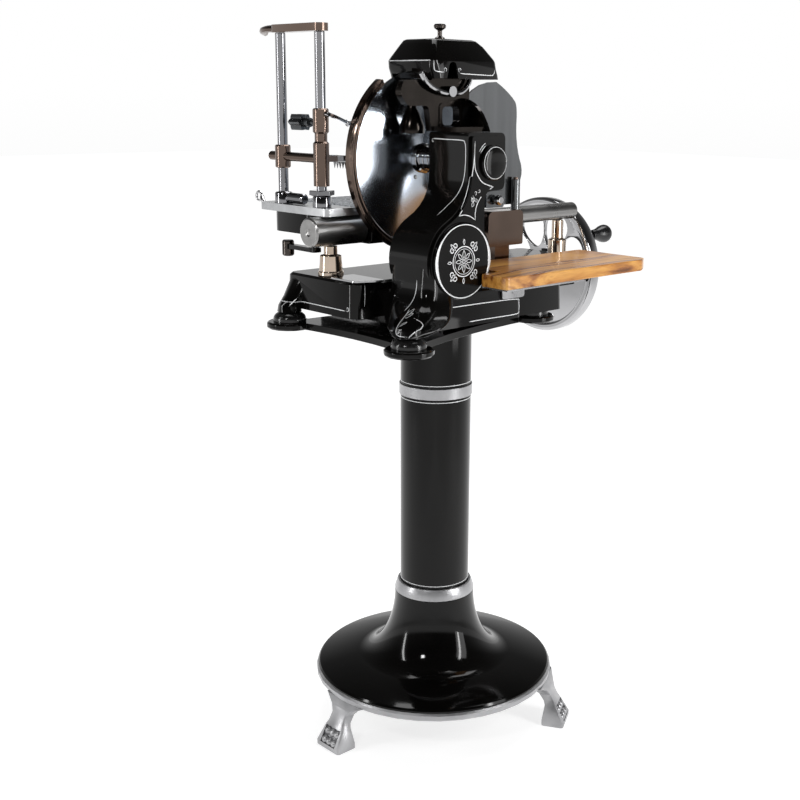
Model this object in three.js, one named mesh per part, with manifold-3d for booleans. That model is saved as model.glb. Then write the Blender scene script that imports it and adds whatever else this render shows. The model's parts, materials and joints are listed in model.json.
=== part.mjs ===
// A hand cranked meat slicer with a flywheel, standing on a round column with a three footed pedestal.
// Lengths are in millimetres. X runs along the blade's axis, Y along the carriage's travel, and Z is up.
// While it is built, the column's axis stands at X = Y = 0 and the floor is at Z = 0.

import * as THREE from "three";
import { mergeVertices } from "three/addons/utils/BufferGeometryUtils.js";
import Module from "manifold-3d";

const wasm = await Module();
wasm.setup();

// Fits that every piece shares
const seat = 0.3;
const overrun = 3;
const fullTurn = Math.PI * 2;

// Driving sizes. A rise is measured up from the base's top, and a drop down from it.
const stand = { height: 779, plateThickness: 12 };
const column = { radius: 65.5, wall: 6, foot: 236 };
const base = { lift: 11, height: 60, wall: 7 };
const blade = { radius: 150, y: -20, rise: 211 };
const drum = { radius: 74, y: -90, rise: 52, backX: 57, frontX: 156 };
const rail = { radius: 17, x: -66, rise: 90, frontY: -239, rearY: 450 };
const wheel = { radius: 144.5, x: -157, y: 470, drop: 34.5, width: 28 };
const table = { rise: 131, thickness: 15, nearX: -46, farX: -240, frontY: -215, rearY: 60 };
const board = { rise: 28, thickness: 21, nearX: 226, farX: 50, frontY: -52, rearY: 338 };

// Heights above the floor that follow from them
base.bottom = stand.height + base.lift;
base.top = base.bottom + base.height;
drum.z = base.top + drum.rise;
blade.z = base.top + blade.rise;
blade.crest = blade.z + blade.radius;
rail.z = base.top + rail.rise;
wheel.z = base.top - wheel.drop;
table.top = base.top + table.rise;
table.bottom = table.top - table.thickness + seat;
board.top = base.top + board.rise;

// Finishes
function finish(color, roughness, metalness) {
  return new THREE.MeshStandardMaterial({ color, roughness, metalness });
}

const blackEnamel = finish(0x0b0b0d, 0.15, 0.0);
const chrome = finish(0xd8dbe0, 0.08, 1.0);
const steel = finish(0x9a9ea3, 0.3, 1.0);
const silverPaint = finish(0xb9bbbd, 0.4, 0.6);
const aluminium = finish(0xc4c8cc, 0.35, 0.9);
const wood = finish(0xb06a2a, 0.45, 0.0);
const blackGrip = finish(0x141414, 0.35, 0.0);
const abrasive = finish(0x6f6a64, 0.9, 0.0);
const bronze = finish(0xa9793a, 0.4, 0.9);

// Solids

// Turns a closed geometry into a solid, with its shared vertices merged and its flat faces dropped.
function solidOf(geometry) {
  const bare = geometry.clone();
  bare.deleteAttribute("normal");
  bare.deleteAttribute("uv");
  const merged = mergeVertices(bare, 1e-4);
  const corners = Array.from(merged.index.array);
  const kept = [];
  for (let i = 0; i < corners.length; i += 3) {
    const [a, b, c] = corners.slice(i, i + 3);
    if (a !== b && b !== c && c !== a) kept.push(a, b, c);
  }
  const points = new Float32Array(merged.attributes.position.array);
  const solidFrom = (triangles) => new wasm.Manifold(
    new wasm.Mesh({ numProp: 3, vertProperties: points, triVerts: new Uint32Array(triangles) }),
  );
  const solid = solidFrom(kept);
  if (solid.volume() > 0) return solid;
  const flipped = [];
  for (let i = 0; i < kept.length; i += 3) flipped.push(kept[i], kept[i + 2], kept[i + 1]);
  return solidFrom(flipped);
}

function geometryOf(solid) {
  const mesh = solid.getMesh();
  const geometry = new THREE.BufferGeometry();
  geometry.setAttribute("position", new THREE.BufferAttribute(new Float32Array(mesh.vertProperties), 3));
  geometry.setIndex(Array.from(mesh.triVerts));
  geometry.computeVertexNormals();
  return geometry;
}

const joined = (...solids) => solids.reduce((all, next) => all.add(next));
const cutFrom = (solid, ...cutters) => cutters.reduce((rest, cutter) => rest.subtract(cutter), solid);

// Lays what was made along +Z so that it runs along another axis through a centre.
function laid(geometry, axis, centre = [0, 0, 0]) {
  const yzToFront = new THREE.Matrix4().set(0, 0, 1, 0, 1, 0, 0, 0, 0, 1, 0, 0, 0, 0, 0, 1);
  if (axis === "x") geometry.applyMatrix4(yzToFront);
  if (axis === "y") geometry.rotateX(Math.PI / 2).scale(1, -1, 1);
  geometry.translate(...centre);
  return geometry;
}

// Revolves a profile of [radius, place along the axis] points. An open profile starts and ends on the axis.
function turned(axis, centre, profile, sides = 16) {
  const points = profile.map(([radius, along]) => new THREE.Vector2(radius, along));
  const lathe = new THREE.LatheGeometry(points, sides).rotateX(Math.PI / 2);
  return solidOf(laid(lathe, axis, centre));
}

const rod = (axis, centre, radius, from, to, sides = 16) =>
  turned(axis, centre, [[0, from], [radius, from], [radius, to], [0, to]], sides);

const tube = (axis, centre, inner, outer, from, to, sides = 16) =>
  turned(axis, centre, [[inner, from], [outer, from], [outer, to], [inner, to], [inner, from]], sides);

// Makes an outline from [x, y, corner radius] points.
function rounded(corners) {
  const shape = new THREE.Shape();
  corners.forEach(([x, y, radius = 0], i) => {
    const here = new THREE.Vector2(x, y);
    const towards = ([px, py]) => new THREE.Vector2(px, py).sub(here).setLength(radius).add(here);
    const before = towards(corners.at(i - 1));
    const after = towards(corners[(i + 1) % corners.length]);
    if (i === 0) shape.moveTo(before.x, before.y);
    else shape.lineTo(before.x, before.y);
    if (radius > 0) shape.quadraticCurveTo(x, y, after.x, after.y);
  });
  shape.closePath();
  return shape;
}

// Extrudes an outline along an axis. Outlines lie in YZ for axis x, in XZ for axis y and in XY for axis z.
function prism(axis, outline, from, to, options = {}) {
  const { bevel = 0, curves = 4 } = options;
  const settings = {
    depth: to - from - 2 * bevel,
    curveSegments: curves,
    bevelEnabled: bevel > 0,
    bevelThickness: bevel,
    bevelSize: bevel,
    bevelOffset: -bevel,
    bevelSegments: 1,
  };
  const geometry = new THREE.ExtrudeGeometry(outline, settings).translate(0, 0, from + bevel);
  return solidOf(laid(geometry, axis));
}

const block = (x0, x1, y0, y1, z0, z1) => {
  const geometry = new THREE.BoxGeometry(x1 - x0, y1 - y0, z1 - z0);
  return solidOf(geometry.translate((x0 + x1) / 2, (y0 + y1) / 2, (z0 + z1) / 2));
};

// Skins a stack of rings that have the same number of points, and closes both ends.
function loft(rings) {
  const size = rings[0].length;
  const positions = rings.flat().flatMap((point) => [point.x, point.y, point.z]);
  const faces = [];
  for (let r = 0; r + 1 < rings.length; r += 1) {
    for (let i = 0; i < size; i += 1) {
      const a = r * size + i;
      const b = r * size + ((i + 1) % size);
      faces.push(a, b, b + size, a, b + size, a + size);
    }
  }
  const last = (rings.length - 1) * size;
  for (let i = 1; i + 1 < size; i += 1) {
    faces.push(0, i + 1, i);
    faces.push(last, last + i, last + i + 1);
  }
  const geometry = new THREE.BufferGeometry();
  geometry.setAttribute("position", new THREE.Float32BufferAttribute(positions, 3));
  geometry.setIndex(faces);
  return solidOf(geometry);
}

// A level ring in the shape of a rounded rectangle.
function levelRing(x, y, z, halfX, halfY, corner, steps = 3) {
  const points = [];
  const reachX = halfX - corner;
  const reachY = halfY - corner;
  [[1, 1], [-1, 1], [-1, -1], [1, -1]].forEach(([sideX, sideY], quarter) => {
    for (let i = 0; i <= steps; i += 1) {
      const angle = (quarter + i / steps) * (fullTurn / 4);
      const px = x + sideX * reachX + corner * Math.cos(angle);
      const py = y + sideY * reachY + corner * Math.sin(angle);
      points.push(new THREE.Vector3(px, py, z));
    }
  });
  return points;
}

// An upright box with rounded corners.
function roundedBox(x0, x1, y0, y1, z0, z1, corner, steps = 3) {
  const ring = (z) => levelRing((x0 + x1) / 2, (y0 + y1) / 2, z, (x1 - x0) / 2, (y1 - y0) / 2, corner, steps);
  return loft([ring(z0), ring(z1)]);
}

const slicer = new THREE.Group();

function place(name, solid, material) {
  const mesh = new THREE.Mesh(geometryOf(solid), material);
  mesh.name = name;
  slicer.add(mesh);
}

// Pedestal

const pedestal = {
  discRadius: 226, discTop: 104, discEdge: 8, ringBottom: 80, ringRadius: 229, ringInner: 196,
  flareRadius: 152, flareTop: 245, neckRadius: 76, discRise: 12, wall: 8, sides: 36,
};

// The black trumpet with its wide disc. It is open underneath and holds the column in its neck.
function pedestalBase() {
  const p = pedestal;
  const rimBottom = p.ringBottom + p.discEdge * 2;
  const flareFoot = p.discTop + p.discRise;
  const steps = 6;
  const flare = (offset) => {
    const points = [];
    for (let i = 0; i <= steps; i += 1) {
      const angle = (i / steps) * (Math.PI / 2);
      const radius = p.neckRadius + (p.flareRadius - p.neckRadius) * (1 - Math.cos(angle));
      const height = flareFoot + (p.flareTop - seat - flareFoot) * (1 - Math.sin(angle));
      points.push([radius - offset, height - (offset * i) / steps]);
    }
    return points;
  };
  const edge = p.discRadius - p.discEdge;
  const rim = [[edge, p.discTop], [p.discRadius, p.discTop - p.discEdge / 2], [p.discRadius, rimBottom]];
  const lip = [[p.discRadius - p.wall, rimBottom], [edge - p.wall, p.discTop - p.wall]];
  const inner = flare(p.wall).filter(([, height], i) => i % 2 === 0 && height < column.foot - p.wall);
  const bore = column.radius + seat;
  const ledge = column.radius - column.wall;
  const socket = [
    [ledge, column.foot - p.wall], [ledge, column.foot], [bore, column.foot], [bore, p.flareTop - seat],
  ];
  const outer = flare(0);
  return turned("z", [0, 0, 0], [...outer, ...rim, ...lip, ...inner.reverse(), ...socket, outer[0]], p.sides);
}

// A claw foot's sections, from its sole up into the ring: how far out it starts and ends, and half its width.
const claw = {
  sections: [
    { z: 0, inner: 225, outer: 268, half: 32 },
    { z: 9, inner: 225, outer: 268, half: 32 },
    { z: 38, inner: 229, outer: 252, half: 25 },
    { z: 46, inner: 226, outer: 248, half: 21 },
    { z: 60, inner: 216, outer: 241, half: 20 },
    { z: 72, inner: 202, outer: 236, half: 28 },
    { z: 84, inner: 198, outer: 227, half: 52 },
  ],
  corner: 5, cheek: 5, niche: 5, clear: 3, knuckle: { along: 8, across: 8, high: 6 },
};
const knuckleShares = { uphill: [0.22, 0.72], sideways: [-0.62, 0, 0.62] };

// A ball that is stretched differently along each axis.
function egg(centre, halfX, halfY, halfZ, sides = 6) {
  const sphere = new THREE.SphereGeometry(1, sides, sides / 2 + 1).rotateX(Math.PI / 2);
  return solidOf(sphere.scale(halfX, halfY, halfZ).translate(...centre));
}

// One cast foot: a leg that flares into the ring above it, and widens below into a block.
// The block's sloping front is hollowed between two cheeks, and two rows of knuckles lie in the hollow.
function clawFoot(angle) {
  const c = claw;
  const body = loft(c.sections.map(({ z, inner, outer, half }) => (
    levelRing((inner + outer) / 2, 0, z, (outer - inner) / 2, half, c.corner, 2)
  )));
  const [, toe, brow] = c.sections;
  const low = new THREE.Vector2(toe.outer, toe.z);
  const high = new THREE.Vector2(brow.outer, brow.z);
  const rise = high.clone().sub(low);
  const out = new THREE.Vector2(rise.y, -rise.x).normalize();
  const off = (point, distance) => point.clone().addScaledVector(out, distance);
  const corners = [off(low, -c.niche), off(low, c.clear), off(high, c.clear), off(high, -c.niche)];
  const hollow = new THREE.Shape(corners);
  const half = brow.half - c.cheek;
  const knuckles = knuckleShares.uphill.flatMap((share) => knuckleShares.sideways.map((side) => {
    const [x, z] = off(low.clone().addScaledVector(rise, share), -c.niche).toArray();
    return egg([x, side * half, z], c.knuckle.along, c.knuckle.across, c.knuckle.high);
  }));
  return joined(cutFrom(body, prism("y", hollow, -half, half)), ...knuckles).rotate([0, 0, angle]);
}

function pedestalRing() {
  const p = pedestal;
  const top = p.ringBottom + p.discEdge * 2 - seat;
  const chamfer = p.discEdge / 2;
  const profile = [
    [p.ringInner, p.ringBottom], [p.ringRadius - chamfer, p.ringBottom],
    [p.ringRadius, p.ringBottom + chamfer], [p.ringRadius, top - chamfer],
    [p.ringRadius - chamfer, top], [p.ringInner, top], [p.ringInner, p.ringBottom],
  ];
  const feetAround = [270, 30, 150].map(clawFoot);
  return joined(turned("z", [0, 0, 0], profile, p.sides), ...feetAround);
}

place("claw_foot_ring", pedestalRing(), silverPaint);
place("pedestal_base", pedestalBase(), blackEnamel);

const plateBottom = stand.height - stand.plateThickness;
const collar = { height: 21, topRadius: 70, sides: 32 };
const band = { drop: 133, height: 20, proud: 2 };
band.bottom = plateBottom - band.drop;

// The column is a tube with a closed head that the plate is bolted to.
function columnTube() {
  const top = plateBottom - seat;
  const inner = column.radius - column.wall;
  const profile = [
    [0, top - column.wall], [inner, top - column.wall], [inner, column.foot + seat],
    [column.radius, column.foot + seat], [column.radius, top], [0, top],
  ];
  return turned("z", [0, 0, 0], profile, collar.sides);
}

function columnCollar() {
  const bottom = pedestal.flareTop;
  const top = bottom + collar.height;
  const bore = column.radius + seat;
  const round = collar.height / 5;
  const profile = [
    [bore, bottom], [pedestal.neckRadius, bottom], [pedestal.neckRadius, bottom + round],
    [collar.topRadius + round / 2, top - round], [collar.topRadius, top], [bore, top], [bore, bottom],
  ];
  return turned("z", [0, 0, 0], profile, collar.sides);
}

function columnBand() {
  const bore = column.radius + seat;
  return tube("z", [0, 0, 0], bore, bore + band.proud, band.bottom, band.bottom + band.height, collar.sides);
}

place("column", columnTube(), blackEnamel);
place("column_collar", columnCollar(), silverPaint);
place("column_band", columnBand(), silverPaint);

// Mounting plate and feet of the machine

const feet = {
  front_left: [-128, -236], front_right: [188, -236], rear_right: [104, 146], rear_left: [-128, 146],
};
const pad = { radius: 29, height: 17, edge: 4, crown: 12 };
const plateEdge = { lobe: 41, frontDip: 30, rightDip: 32, rearDip: 18, leftDip: 18 };

// A flat plate with a round lobe under each foot and hollow edges between the lobes.
function mountingPlate() {
  const top = stand.height;
  const [a, b, c, d] = [feet.front_left, feet.front_right, feet.rear_right, feet.rear_left];
  const middle = (p, q) => [(p[0] + q[0]) / 2, (p[1] + q[1]) / 2];
  const body = new THREE.Shape();
  const [front, right, rear, left] = [middle(a, b), middle(b, c), middle(c, d), middle(d, a)];
  body.moveTo(...a);
  body.quadraticCurveTo(front[0], front[1] + plateEdge.frontDip, ...b);
  body.quadraticCurveTo(right[0] - plateEdge.rightDip, right[1], ...c);
  body.quadraticCurveTo(rear[0], rear[1] - plateEdge.rearDip, ...d);
  body.quadraticCurveTo(left[0] + plateEdge.leftDip, left[1], ...a);
  const sheet = prism("z", body, plateBottom, top, { curves: 6 });
  const round = stand.plateThickness / 4;
  const lobe = ([x, y]) => turned("z", [x, y, 0], [
    [0, plateBottom], [plateEdge.lobe - round, plateBottom], [plateEdge.lobe, plateBottom + round],
    [plateEdge.lobe, top - round], [plateEdge.lobe - round, top], [0, top],
  ], 16);
  return joined(sheet, ...[a, b, c, d].map(lobe));
}

place("mounting_plate", mountingPlate(), blackEnamel);

const padBottom = stand.height + seat;
const padTop = padBottom + pad.height;

function footPad([x, y]) {
  const steps = 3;
  const dome = [];
  for (let i = 0; i <= steps; i += 1) {
    const angle = (i / steps) * (Math.PI / 2);
    const reach = pad.radius - pad.crown;
    const rise = pad.height - pad.edge;
    dome.push([pad.crown + reach * Math.cos(angle), padBottom + pad.edge + rise * Math.sin(angle)]);
  }
  return turned("z", [x, y, 0], [[0, padBottom], [pad.radius, padBottom], ...dome, [0, padTop]], 12);
}

Object.entries(feet).forEach(([corner, spot]) => place(`foot_pad_${corner}`, footPad(spot), blackGrip));

// Base casting

const body = { x0: -45, x1: 156, y0: -163, y1: 66, corner: 16, edge: 4, flare: 2 };
const rearBox = { x1: 146, y1: 186 };
const sideBox = { x0: -200, y0: -120, y1: 440 };
const arm = { x0: -155, x1: 40, y0: -225, lift: 12, rise: 13 };
const leg = { radius: 21, straight: 12, half: 27 };
const legShares = { taper: 0.9, bend: 0.35, halfway: 0.5 };
const web = { x: 54, y: 8, thickness: 9 };
const flywheelShaft = { radius: 11, frontY: -62, bush: 15, boss: 23, bossEnd: 450 };
const crossShaft = { radius: 9, to: 106 };
const spurs = { x0: 74, x1: 94, pinionTeeth: 17, gearTeeth: 29, depth: 5, slotHalf: 58 };
arm.bottom = base.bottom + arm.lift;
arm.top = base.top + arm.rise;

// A box whose walls lean in a little towards a rounded top edge.
function castBox(x0, x1, y0, y1, z0, z1) {
  const ring = (z, inset) => {
    const halfX = (x1 - x0) / 2 - inset;
    const halfY = (y1 - y0) / 2 - inset;
    return levelRing((x0 + x1) / 2, (y0 + y1) / 2, z, halfX, halfY, body.corner - inset / 2);
  };
  return loft([ring(z0, 0), ring(z1 - body.edge, body.flare), ring(z1, body.flare + body.edge)]);
}

// A splayed leg that runs from a foot pad up into the casting.
function castLeg([x, y], [rootX, rootY], rootZ) {
  const low = padTop + seat;
  const ring = (share, z, half) => {
    const px = x + (rootX - x) * share;
    const py = y + (rootY - y) * share;
    return levelRing(px, py, z, half, half, half * legShares.taper);
  };
  const ankle = low + leg.straight;
  const bend = ankle + (rootZ - ankle) * legShares.bend;
  return loft([
    ring(0, low, leg.radius), ring(0, ankle, leg.radius * legShares.taper),
    ring(legShares.halfway, bend, leg.half * legShares.taper), ring(1, rootZ, leg.half),
  ]);
}

function baseCasting() {
  const w = base.wall + body.flare;
  const roof = base.top - base.wall;
  const low = base.bottom - overrun;
  const round = body.corner - base.wall;
  const outer = joined(
    castBox(body.x0, body.x1, body.y0, body.y1, base.bottom, base.top),
    castBox(body.x0, rearBox.x1, body.y0, rearBox.y1, base.bottom, base.top),
    castBox(sideBox.x0, body.x0 + w, sideBox.y0, sideBox.y1, base.bottom, base.top),
    castBox(arm.x0, arm.x1, arm.y0, sideBox.y0 + w, arm.bottom, arm.top),
    castLeg(feet.front_left, [arm.x0 + leg.half, arm.y0 + leg.half], arm.top - leg.straight),
    castLeg(feet.front_right, [body.x1 - leg.half, body.y0 + leg.half], base.top - leg.straight),
  );
  const room = (x0, x1, y0, y1, top = roof) => roundedBox(x0, x1, y0, y1, low, top, round, 1);
  const hollows = [
    room(body.x0 + w, web.x - web.thickness, body.y0 + w, rearBox.y1 - w),
    room(web.x, body.x1 - w, body.y0 + w, body.y1 - w),
    room(web.x, rearBox.x1 - w, body.y1 - w * 3, rearBox.y1 - w),
    room(sideBox.x0 + w, body.x0, sideBox.y0 + w, web.y),
    room(sideBox.x0 + w, body.x0, web.y + web.thickness, sideBox.y1 - w),
    room(arm.x0 + w, arm.x1 - w, arm.y0 + w, body.y0 - w, arm.top - base.wall),
  ];
  const hollowed = cutFrom(outer, ...hollows);
  const pillars = [feet.rear_right, feet.rear_left].map(([x, y]) => (
    rod("z", [x, y, 0], leg.radius, padTop + seat, roof + overrun)
  ));
  const axle = [wheel.x, 0, wheel.z];
  const { bossEnd } = flywheelShaft;
  const boss = rod("y", axle, flywheelShaft.boss, sideBox.y1 - w, bossEnd);
  const shaftHole = rod("y", axle, flywheelShaft.radius + seat, 0, sideBox.y1);
  const bushHole = rod("y", axle, flywheelShaft.bush + seat, sideBox.y1 - w * 2, bossEnd + overrun);
  const crossBore = crossShaft.radius + seat;
  const crossHole = rod("x", [0, drum.y, wheel.z], crossBore, body.x0 - overrun, web.x + overrun);
  const gearSlot = block(spurs.x0 - overrun, spurs.x1 + overrun,
    drum.y - spurs.slotHalf, drum.y + spurs.slotHalf,
    roof - overrun, base.top + overrun);
  return cutFrom(joined(hollowed, ...pillars, boss), shaftHole, bushHole, crossHole, gearSlot);
}

place("base_casting", baseCasting(), blackEnamel);

// Gear column, which carries the blade and hides the drive

const neck = {
  left: -73, right: 15, head: 49, boxDrop: 46, swellDrop: 21, corner: 12,
  backRight: -17, frontRight: -50, frontX: 136, edge: 5, startAngle: 200, leavingAngle: 116,
};
neck.top = blade.z + neck.head;
neck.boxBottom = blade.z - neck.boxDrop;
const degrees = (value) => THREE.MathUtils.degToRad(value);

// The casting seen along the blade's axis: a round drum below, a neck, and a square head above.
function columnOutline(neckRight, inset) {
  const foot = base.top + seat;
  const radius = drum.radius - inset;
  const left = neck.left + inset;
  const right = neck.right - inset;
  const top = neck.top - inset;
  const shelf = neck.boxBottom + inset;
  const leaving = degrees(neck.leavingAngle);
  const leaveY = drum.y + radius * Math.cos(leaving);
  const leaveZ = drum.z + radius * Math.sin(leaving);
  const turnZ = leaveZ - (left - leaveY) / Math.tan(leaving);
  const footAngle = Math.asin((foot - drum.z) / radius);
  const outline = new THREE.Shape();
  outline.moveTo(drum.y - radius * Math.cos(footAngle) - neck.corner, foot);
  outline.absarc(drum.y, drum.z, radius, degrees(neck.startAngle), leaving, true);
  outline.quadraticCurveTo(left, turnZ, left, blade.z - neck.swellDrop);
  outline.lineTo(left, top - neck.corner / 2);
  outline.quadraticCurveTo(left, top, left + neck.corner / 2, top);
  outline.lineTo(right - neck.corner, top);
  outline.quadraticCurveTo(right, top, right, top - neck.corner);
  outline.lineTo(right, neck.boxBottom + neck.corner);
  outline.quadraticCurveTo(right, shelf, right - neck.corner, shelf);
  outline.quadraticCurveTo(neckRight, shelf, neckRight, neck.boxBottom - neck.corner * 2);
  outline.absarc(drum.y, drum.z, radius, Math.acos((neckRight - drum.y) / radius), footAngle, true);
  outline.closePath();
  return outline;
}

const drumBore = { radius: 62, wall: 9 };
const headBore = { radius: 26, sides: 24 };
const chain = {
  pitch: 10, lowTeeth: 22, highTeeth: 10, x: 110, width: 6, inner: 1.6, outer: 3.4, plateHalf: 2.2, clear: 3,
};
const drumShaft = { radius: 9, from: 50, to: 153 };
const bladeShaft = { radius: 10, to: 152 };

function gearColumn() {
  const options = { curves: 6 };
  const { edge } = neck;
  const back = prism("x", columnOutline(neck.backRight, 0), drum.backX, neck.frontX, options);
  const outline = columnOutline(neck.frontRight, 0);
  const front = prism("x", outline, neck.frontX - edge, drum.frontX - edge, options);
  const face = prism("x", columnOutline(neck.frontRight, edge), drum.frontX - edge * 2, drum.frontX, options);
  const [before, past] = [drum.backX - overrun, drum.frontX + overrun];
  const wallX = drum.backX + drumBore.wall;
  const lowBore = rod("x", [0, drum.y, drum.z], drumBore.radius, wallX, past, 28);
  const highBore = rod("x", [0, blade.y, blade.z], headBore.radius, wallX, past, headBore.sides);
  const lowHole = rod("x", [0, drum.y, drum.z], drumShaft.radius + seat, before, past);
  const highHole = rod("x", [0, blade.y, blade.z], bladeShaft.radius + seat, before, past);
  const spread = chain.outer + chain.clear;
  const tunnel = new THREE.Shape(chainLoop(spread, chain.pitch * 3).map(([y, z]) => new THREE.Vector2(y, z)));
  const passage = prism("x", tunnel, chain.x - chain.width * 1.5, chain.x + chain.width * 1.5);
  return cutFrom(joined(back, front, face), lowBore, highBore, lowHole, highHole, passage);
}

const sprocketRadius = (teeth) => chain.pitch / 2 / Math.sin(Math.PI / teeth);

// Points around the loop that a chain makes over both sprockets, pushed outwards by an offset.
function chainLoop(offset, spacing = chain.pitch) {
  const low = sprocketRadius(chain.lowTeeth) + offset;
  const high = sprocketRadius(chain.highTeeth) + offset;
  const rise = new THREE.Vector2(blade.y - drum.y, blade.z - drum.z);
  const heading = rise.angle();
  const wrap = Math.acos((low - high) / rise.length());
  const points = [];
  const sweep = (y, z, radius, from, to) => {
    const steps = Math.max(3, Math.round((Math.abs(to - from) * radius) / spacing));
    for (let i = 0; i <= steps; i += 1) {
      const angle = from + ((to - from) * i) / steps;
      points.push([y + radius * Math.cos(angle), z + radius * Math.sin(angle)]);
    }
  };
  sweep(blade.y, blade.z, high, heading - wrap, heading + wrap);
  sweep(drum.y, drum.z, low, heading + wrap, heading + fullTurn - wrap);
  return points;
}

place("gear_column", gearColumn(), blackEnamel);

const cover = {
  radius: 65, rim: 3, thickness: 5, boss: 15, bossDepth: 7, smallRadius: 29, domeHeight: 0.5, smallDomeHeight: 5,
};
const coverShares = { middle: 0.6, lift: 0.7 };

// A round cover whose boss behind it holds the end of a shaft.
function roundCover(y, z, radius, dome, shaftRadius, shaftEnd) {
  const back = drum.frontX + seat;
  const front = back + cover.thickness;
  const bossBack = back - cover.bossDepth;
  return cutFrom(
    turned("x", [0, y, z], [
      [0, bossBack], [cover.boss, bossBack], [cover.boss, back], [radius, back], [radius, front - cover.rim],
      [radius - cover.rim, front], [radius * coverShares.middle, front + dome * coverShares.lift],
      [0, front + dome],
    ], 24),
    rod("x", [0, y, z], shaftRadius + seat, bossBack - overrun, shaftEnd + seat),
  );
}

place("drum_cover",
  roundCover(drum.y, drum.z, cover.radius, cover.domeHeight, drumShaft.radius, drumShaft.to), blackEnamel);
place("shaft_cover",
  roundCover(blade.y, blade.z, cover.smallRadius, cover.smallDomeHeight, bladeShaft.radius, bladeShaft.to),
  chrome);

// Hand wheel and drive

const hub = { radius: 25, back: 18, front: 19 };
hub.from = wheel.y - hub.back;
hub.to = wheel.y + hub.front;
const rimSize = { depth: 17, edge: 5, webHalf: 5 };
const openingShares = {
  near: 0.156, far: 0.902, width: 0.322, shoulder: 0.824, bulge: 0.96, lowBend: 0.7, highBend: 0.8, swell: 1.1, crown: 0.9,
};
const openingAngles = [22.5, 67.5, 112.5, 157.5];
const crank = {
  inset: 8.5, angle: 32.2, pinRadius: 4, headRadius: 8, headLength: 5, grip: 19, gripLength: 53, gap: 18,
};
crank.x = wheel.x + (wheel.radius - crank.inset) * Math.cos(degrees(crank.angle));
crank.z = wheel.z + (wheel.radius - crank.inset) * Math.sin(degrees(crank.angle));
crank.gripFrom = wheel.y + crank.gap;
crank.gripTo = crank.gripFrom + crank.gripLength;

// A web with egg shaped openings above its middle, a solid half below that balances it, a hub and a round rim.
function flywheel() {
  const { x, y, z, radius, width } = wheel;
  const half = width / 2;
  const { edge, webHalf } = rimSize;
  const inner = radius - rimSize.depth;
  const rim = turned("y", [x, y, z], [
    [inner, -half + edge], [inner + edge, -half], [radius - edge, -half], [radius, -half + edge],
    [radius, half - edge], [radius - edge, half], [inner + edge, half], [inner, half - edge],
    [inner, -half + edge],
  ], 36);
  const webDisc = rod("y", [x, y, z], inner + edge, -webHalf, webHalf, 24);
  const middle = rod("y", [x, y, z], hub.radius, -hub.back, hub.front, 24);
  const o = openingShares;
  const span = inner - hub.radius;
  const [near, far] = [hub.radius + span * o.near, hub.radius + span * o.far];
  const [shoulder, bulge] = [hub.radius + span * o.shoulder, hub.radius + span * o.bulge];
  const side = span * o.width;
  const opening = new THREE.Shape();
  opening.moveTo(near, 0);
  opening.bezierCurveTo(near, side * o.lowBend, far - side * o.highBend, side * o.swell, shoulder, side * o.crown);
  opening.quadraticCurveTo(bulge, 0, shoulder, -side * o.crown);
  opening.bezierCurveTo(far - side * o.highBend, -side * o.swell, near, -side * o.lowBend, near, 0);
  const cutter = prism("y", opening, -webHalf - overrun, webHalf + overrun, { curves: 3 });
  const openings = openingAngles.map((angle) => cutter.rotate([0, -angle, 0]).translate([x, y, z]));
  const shaftHole = rod("y", [x, 0, z], flywheelShaft.radius + seat, hub.from - overrun, hub.to + overrun);
  const pinBore = crank.pinRadius + seat;
  const pinHole = rod("y", [crank.x, 0, crank.z], pinBore, y - half - overrun, y + half + overrun, 12);
  return cutFrom(joined(cutFrom(webDisc, ...openings), rim, middle), shaftHole, pinHole);
}

place("flywheel", flywheel(), chrome);

const nut = { radius: 17, length: 11, sides: 6 };
const axle = [wheel.x, 0, wheel.z];
const nutEnd = hub.to + nut.length;
place("flywheel_shaft", rod("y", axle, flywheelShaft.radius, flywheelShaft.frontY, nutEnd + seat * 2), steel);
place("flywheel_nut", cutFrom(
  rod("y", axle, nut.radius, hub.to + seat, nutEnd, nut.sides),
  rod("y", axle, flywheelShaft.radius + seat, hub.to, nutEnd + overrun),
), chrome);
place("flywheel_bearing", tube("y", axle, flywheelShaft.radius + seat, flywheelShaft.bush,
  sideBox.y1 - base.wall * 2, flywheelShaft.bossEnd), bronze);

function crankPin() {
  const from = wheel.y - wheel.width / 2 + rimSize.edge / 2;
  const neckEnd = crank.gripTo + seat;
  return turned("y", [crank.x, 0, crank.z], [
    [0, from], [crank.pinRadius, from], [crank.pinRadius, neckEnd], [crank.headRadius, neckEnd],
    [crank.headRadius - seat * 5, crank.gripTo + crank.headLength], [0, crank.gripTo + crank.headLength],
  ], 12);
}

place("crank_pin", crankPin(), chrome);

// The grip's fullness along its length, from the wheel's side outwards.
const gripShares = [
  [0, 0.5], [0.18, 0.58], [0.38, 0.74], [0.58, 0.93], [0.74, 1], [0.88, 0.88], [0.97, 0.6], [1, 0.45],
];

function crankGrip() {
  const bore = crank.pinRadius + seat;
  const skin = gripShares.map(([share, fullness]) => [
    crank.grip * fullness, crank.gripFrom + crank.gripLength * share,
  ]);
  return turned("y", [crank.x, 0, crank.z], [
    [bore, crank.gripFrom], ...skin, [bore, crank.gripTo], [bore, crank.gripFrom],
  ], 12);
}

place("crank_grip", crankGrip(), blackGrip);

const bevel = {
  big: 24, small: 12, bigTeeth: 16, smallTeeth: 8, tip: 1.5, hub: 11, bossWall: 6,
};
const bevelShares = { face: 0.64, crest: 0.8, angles: [-0.13, 0.13, 0.28, 0.72] };

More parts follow.
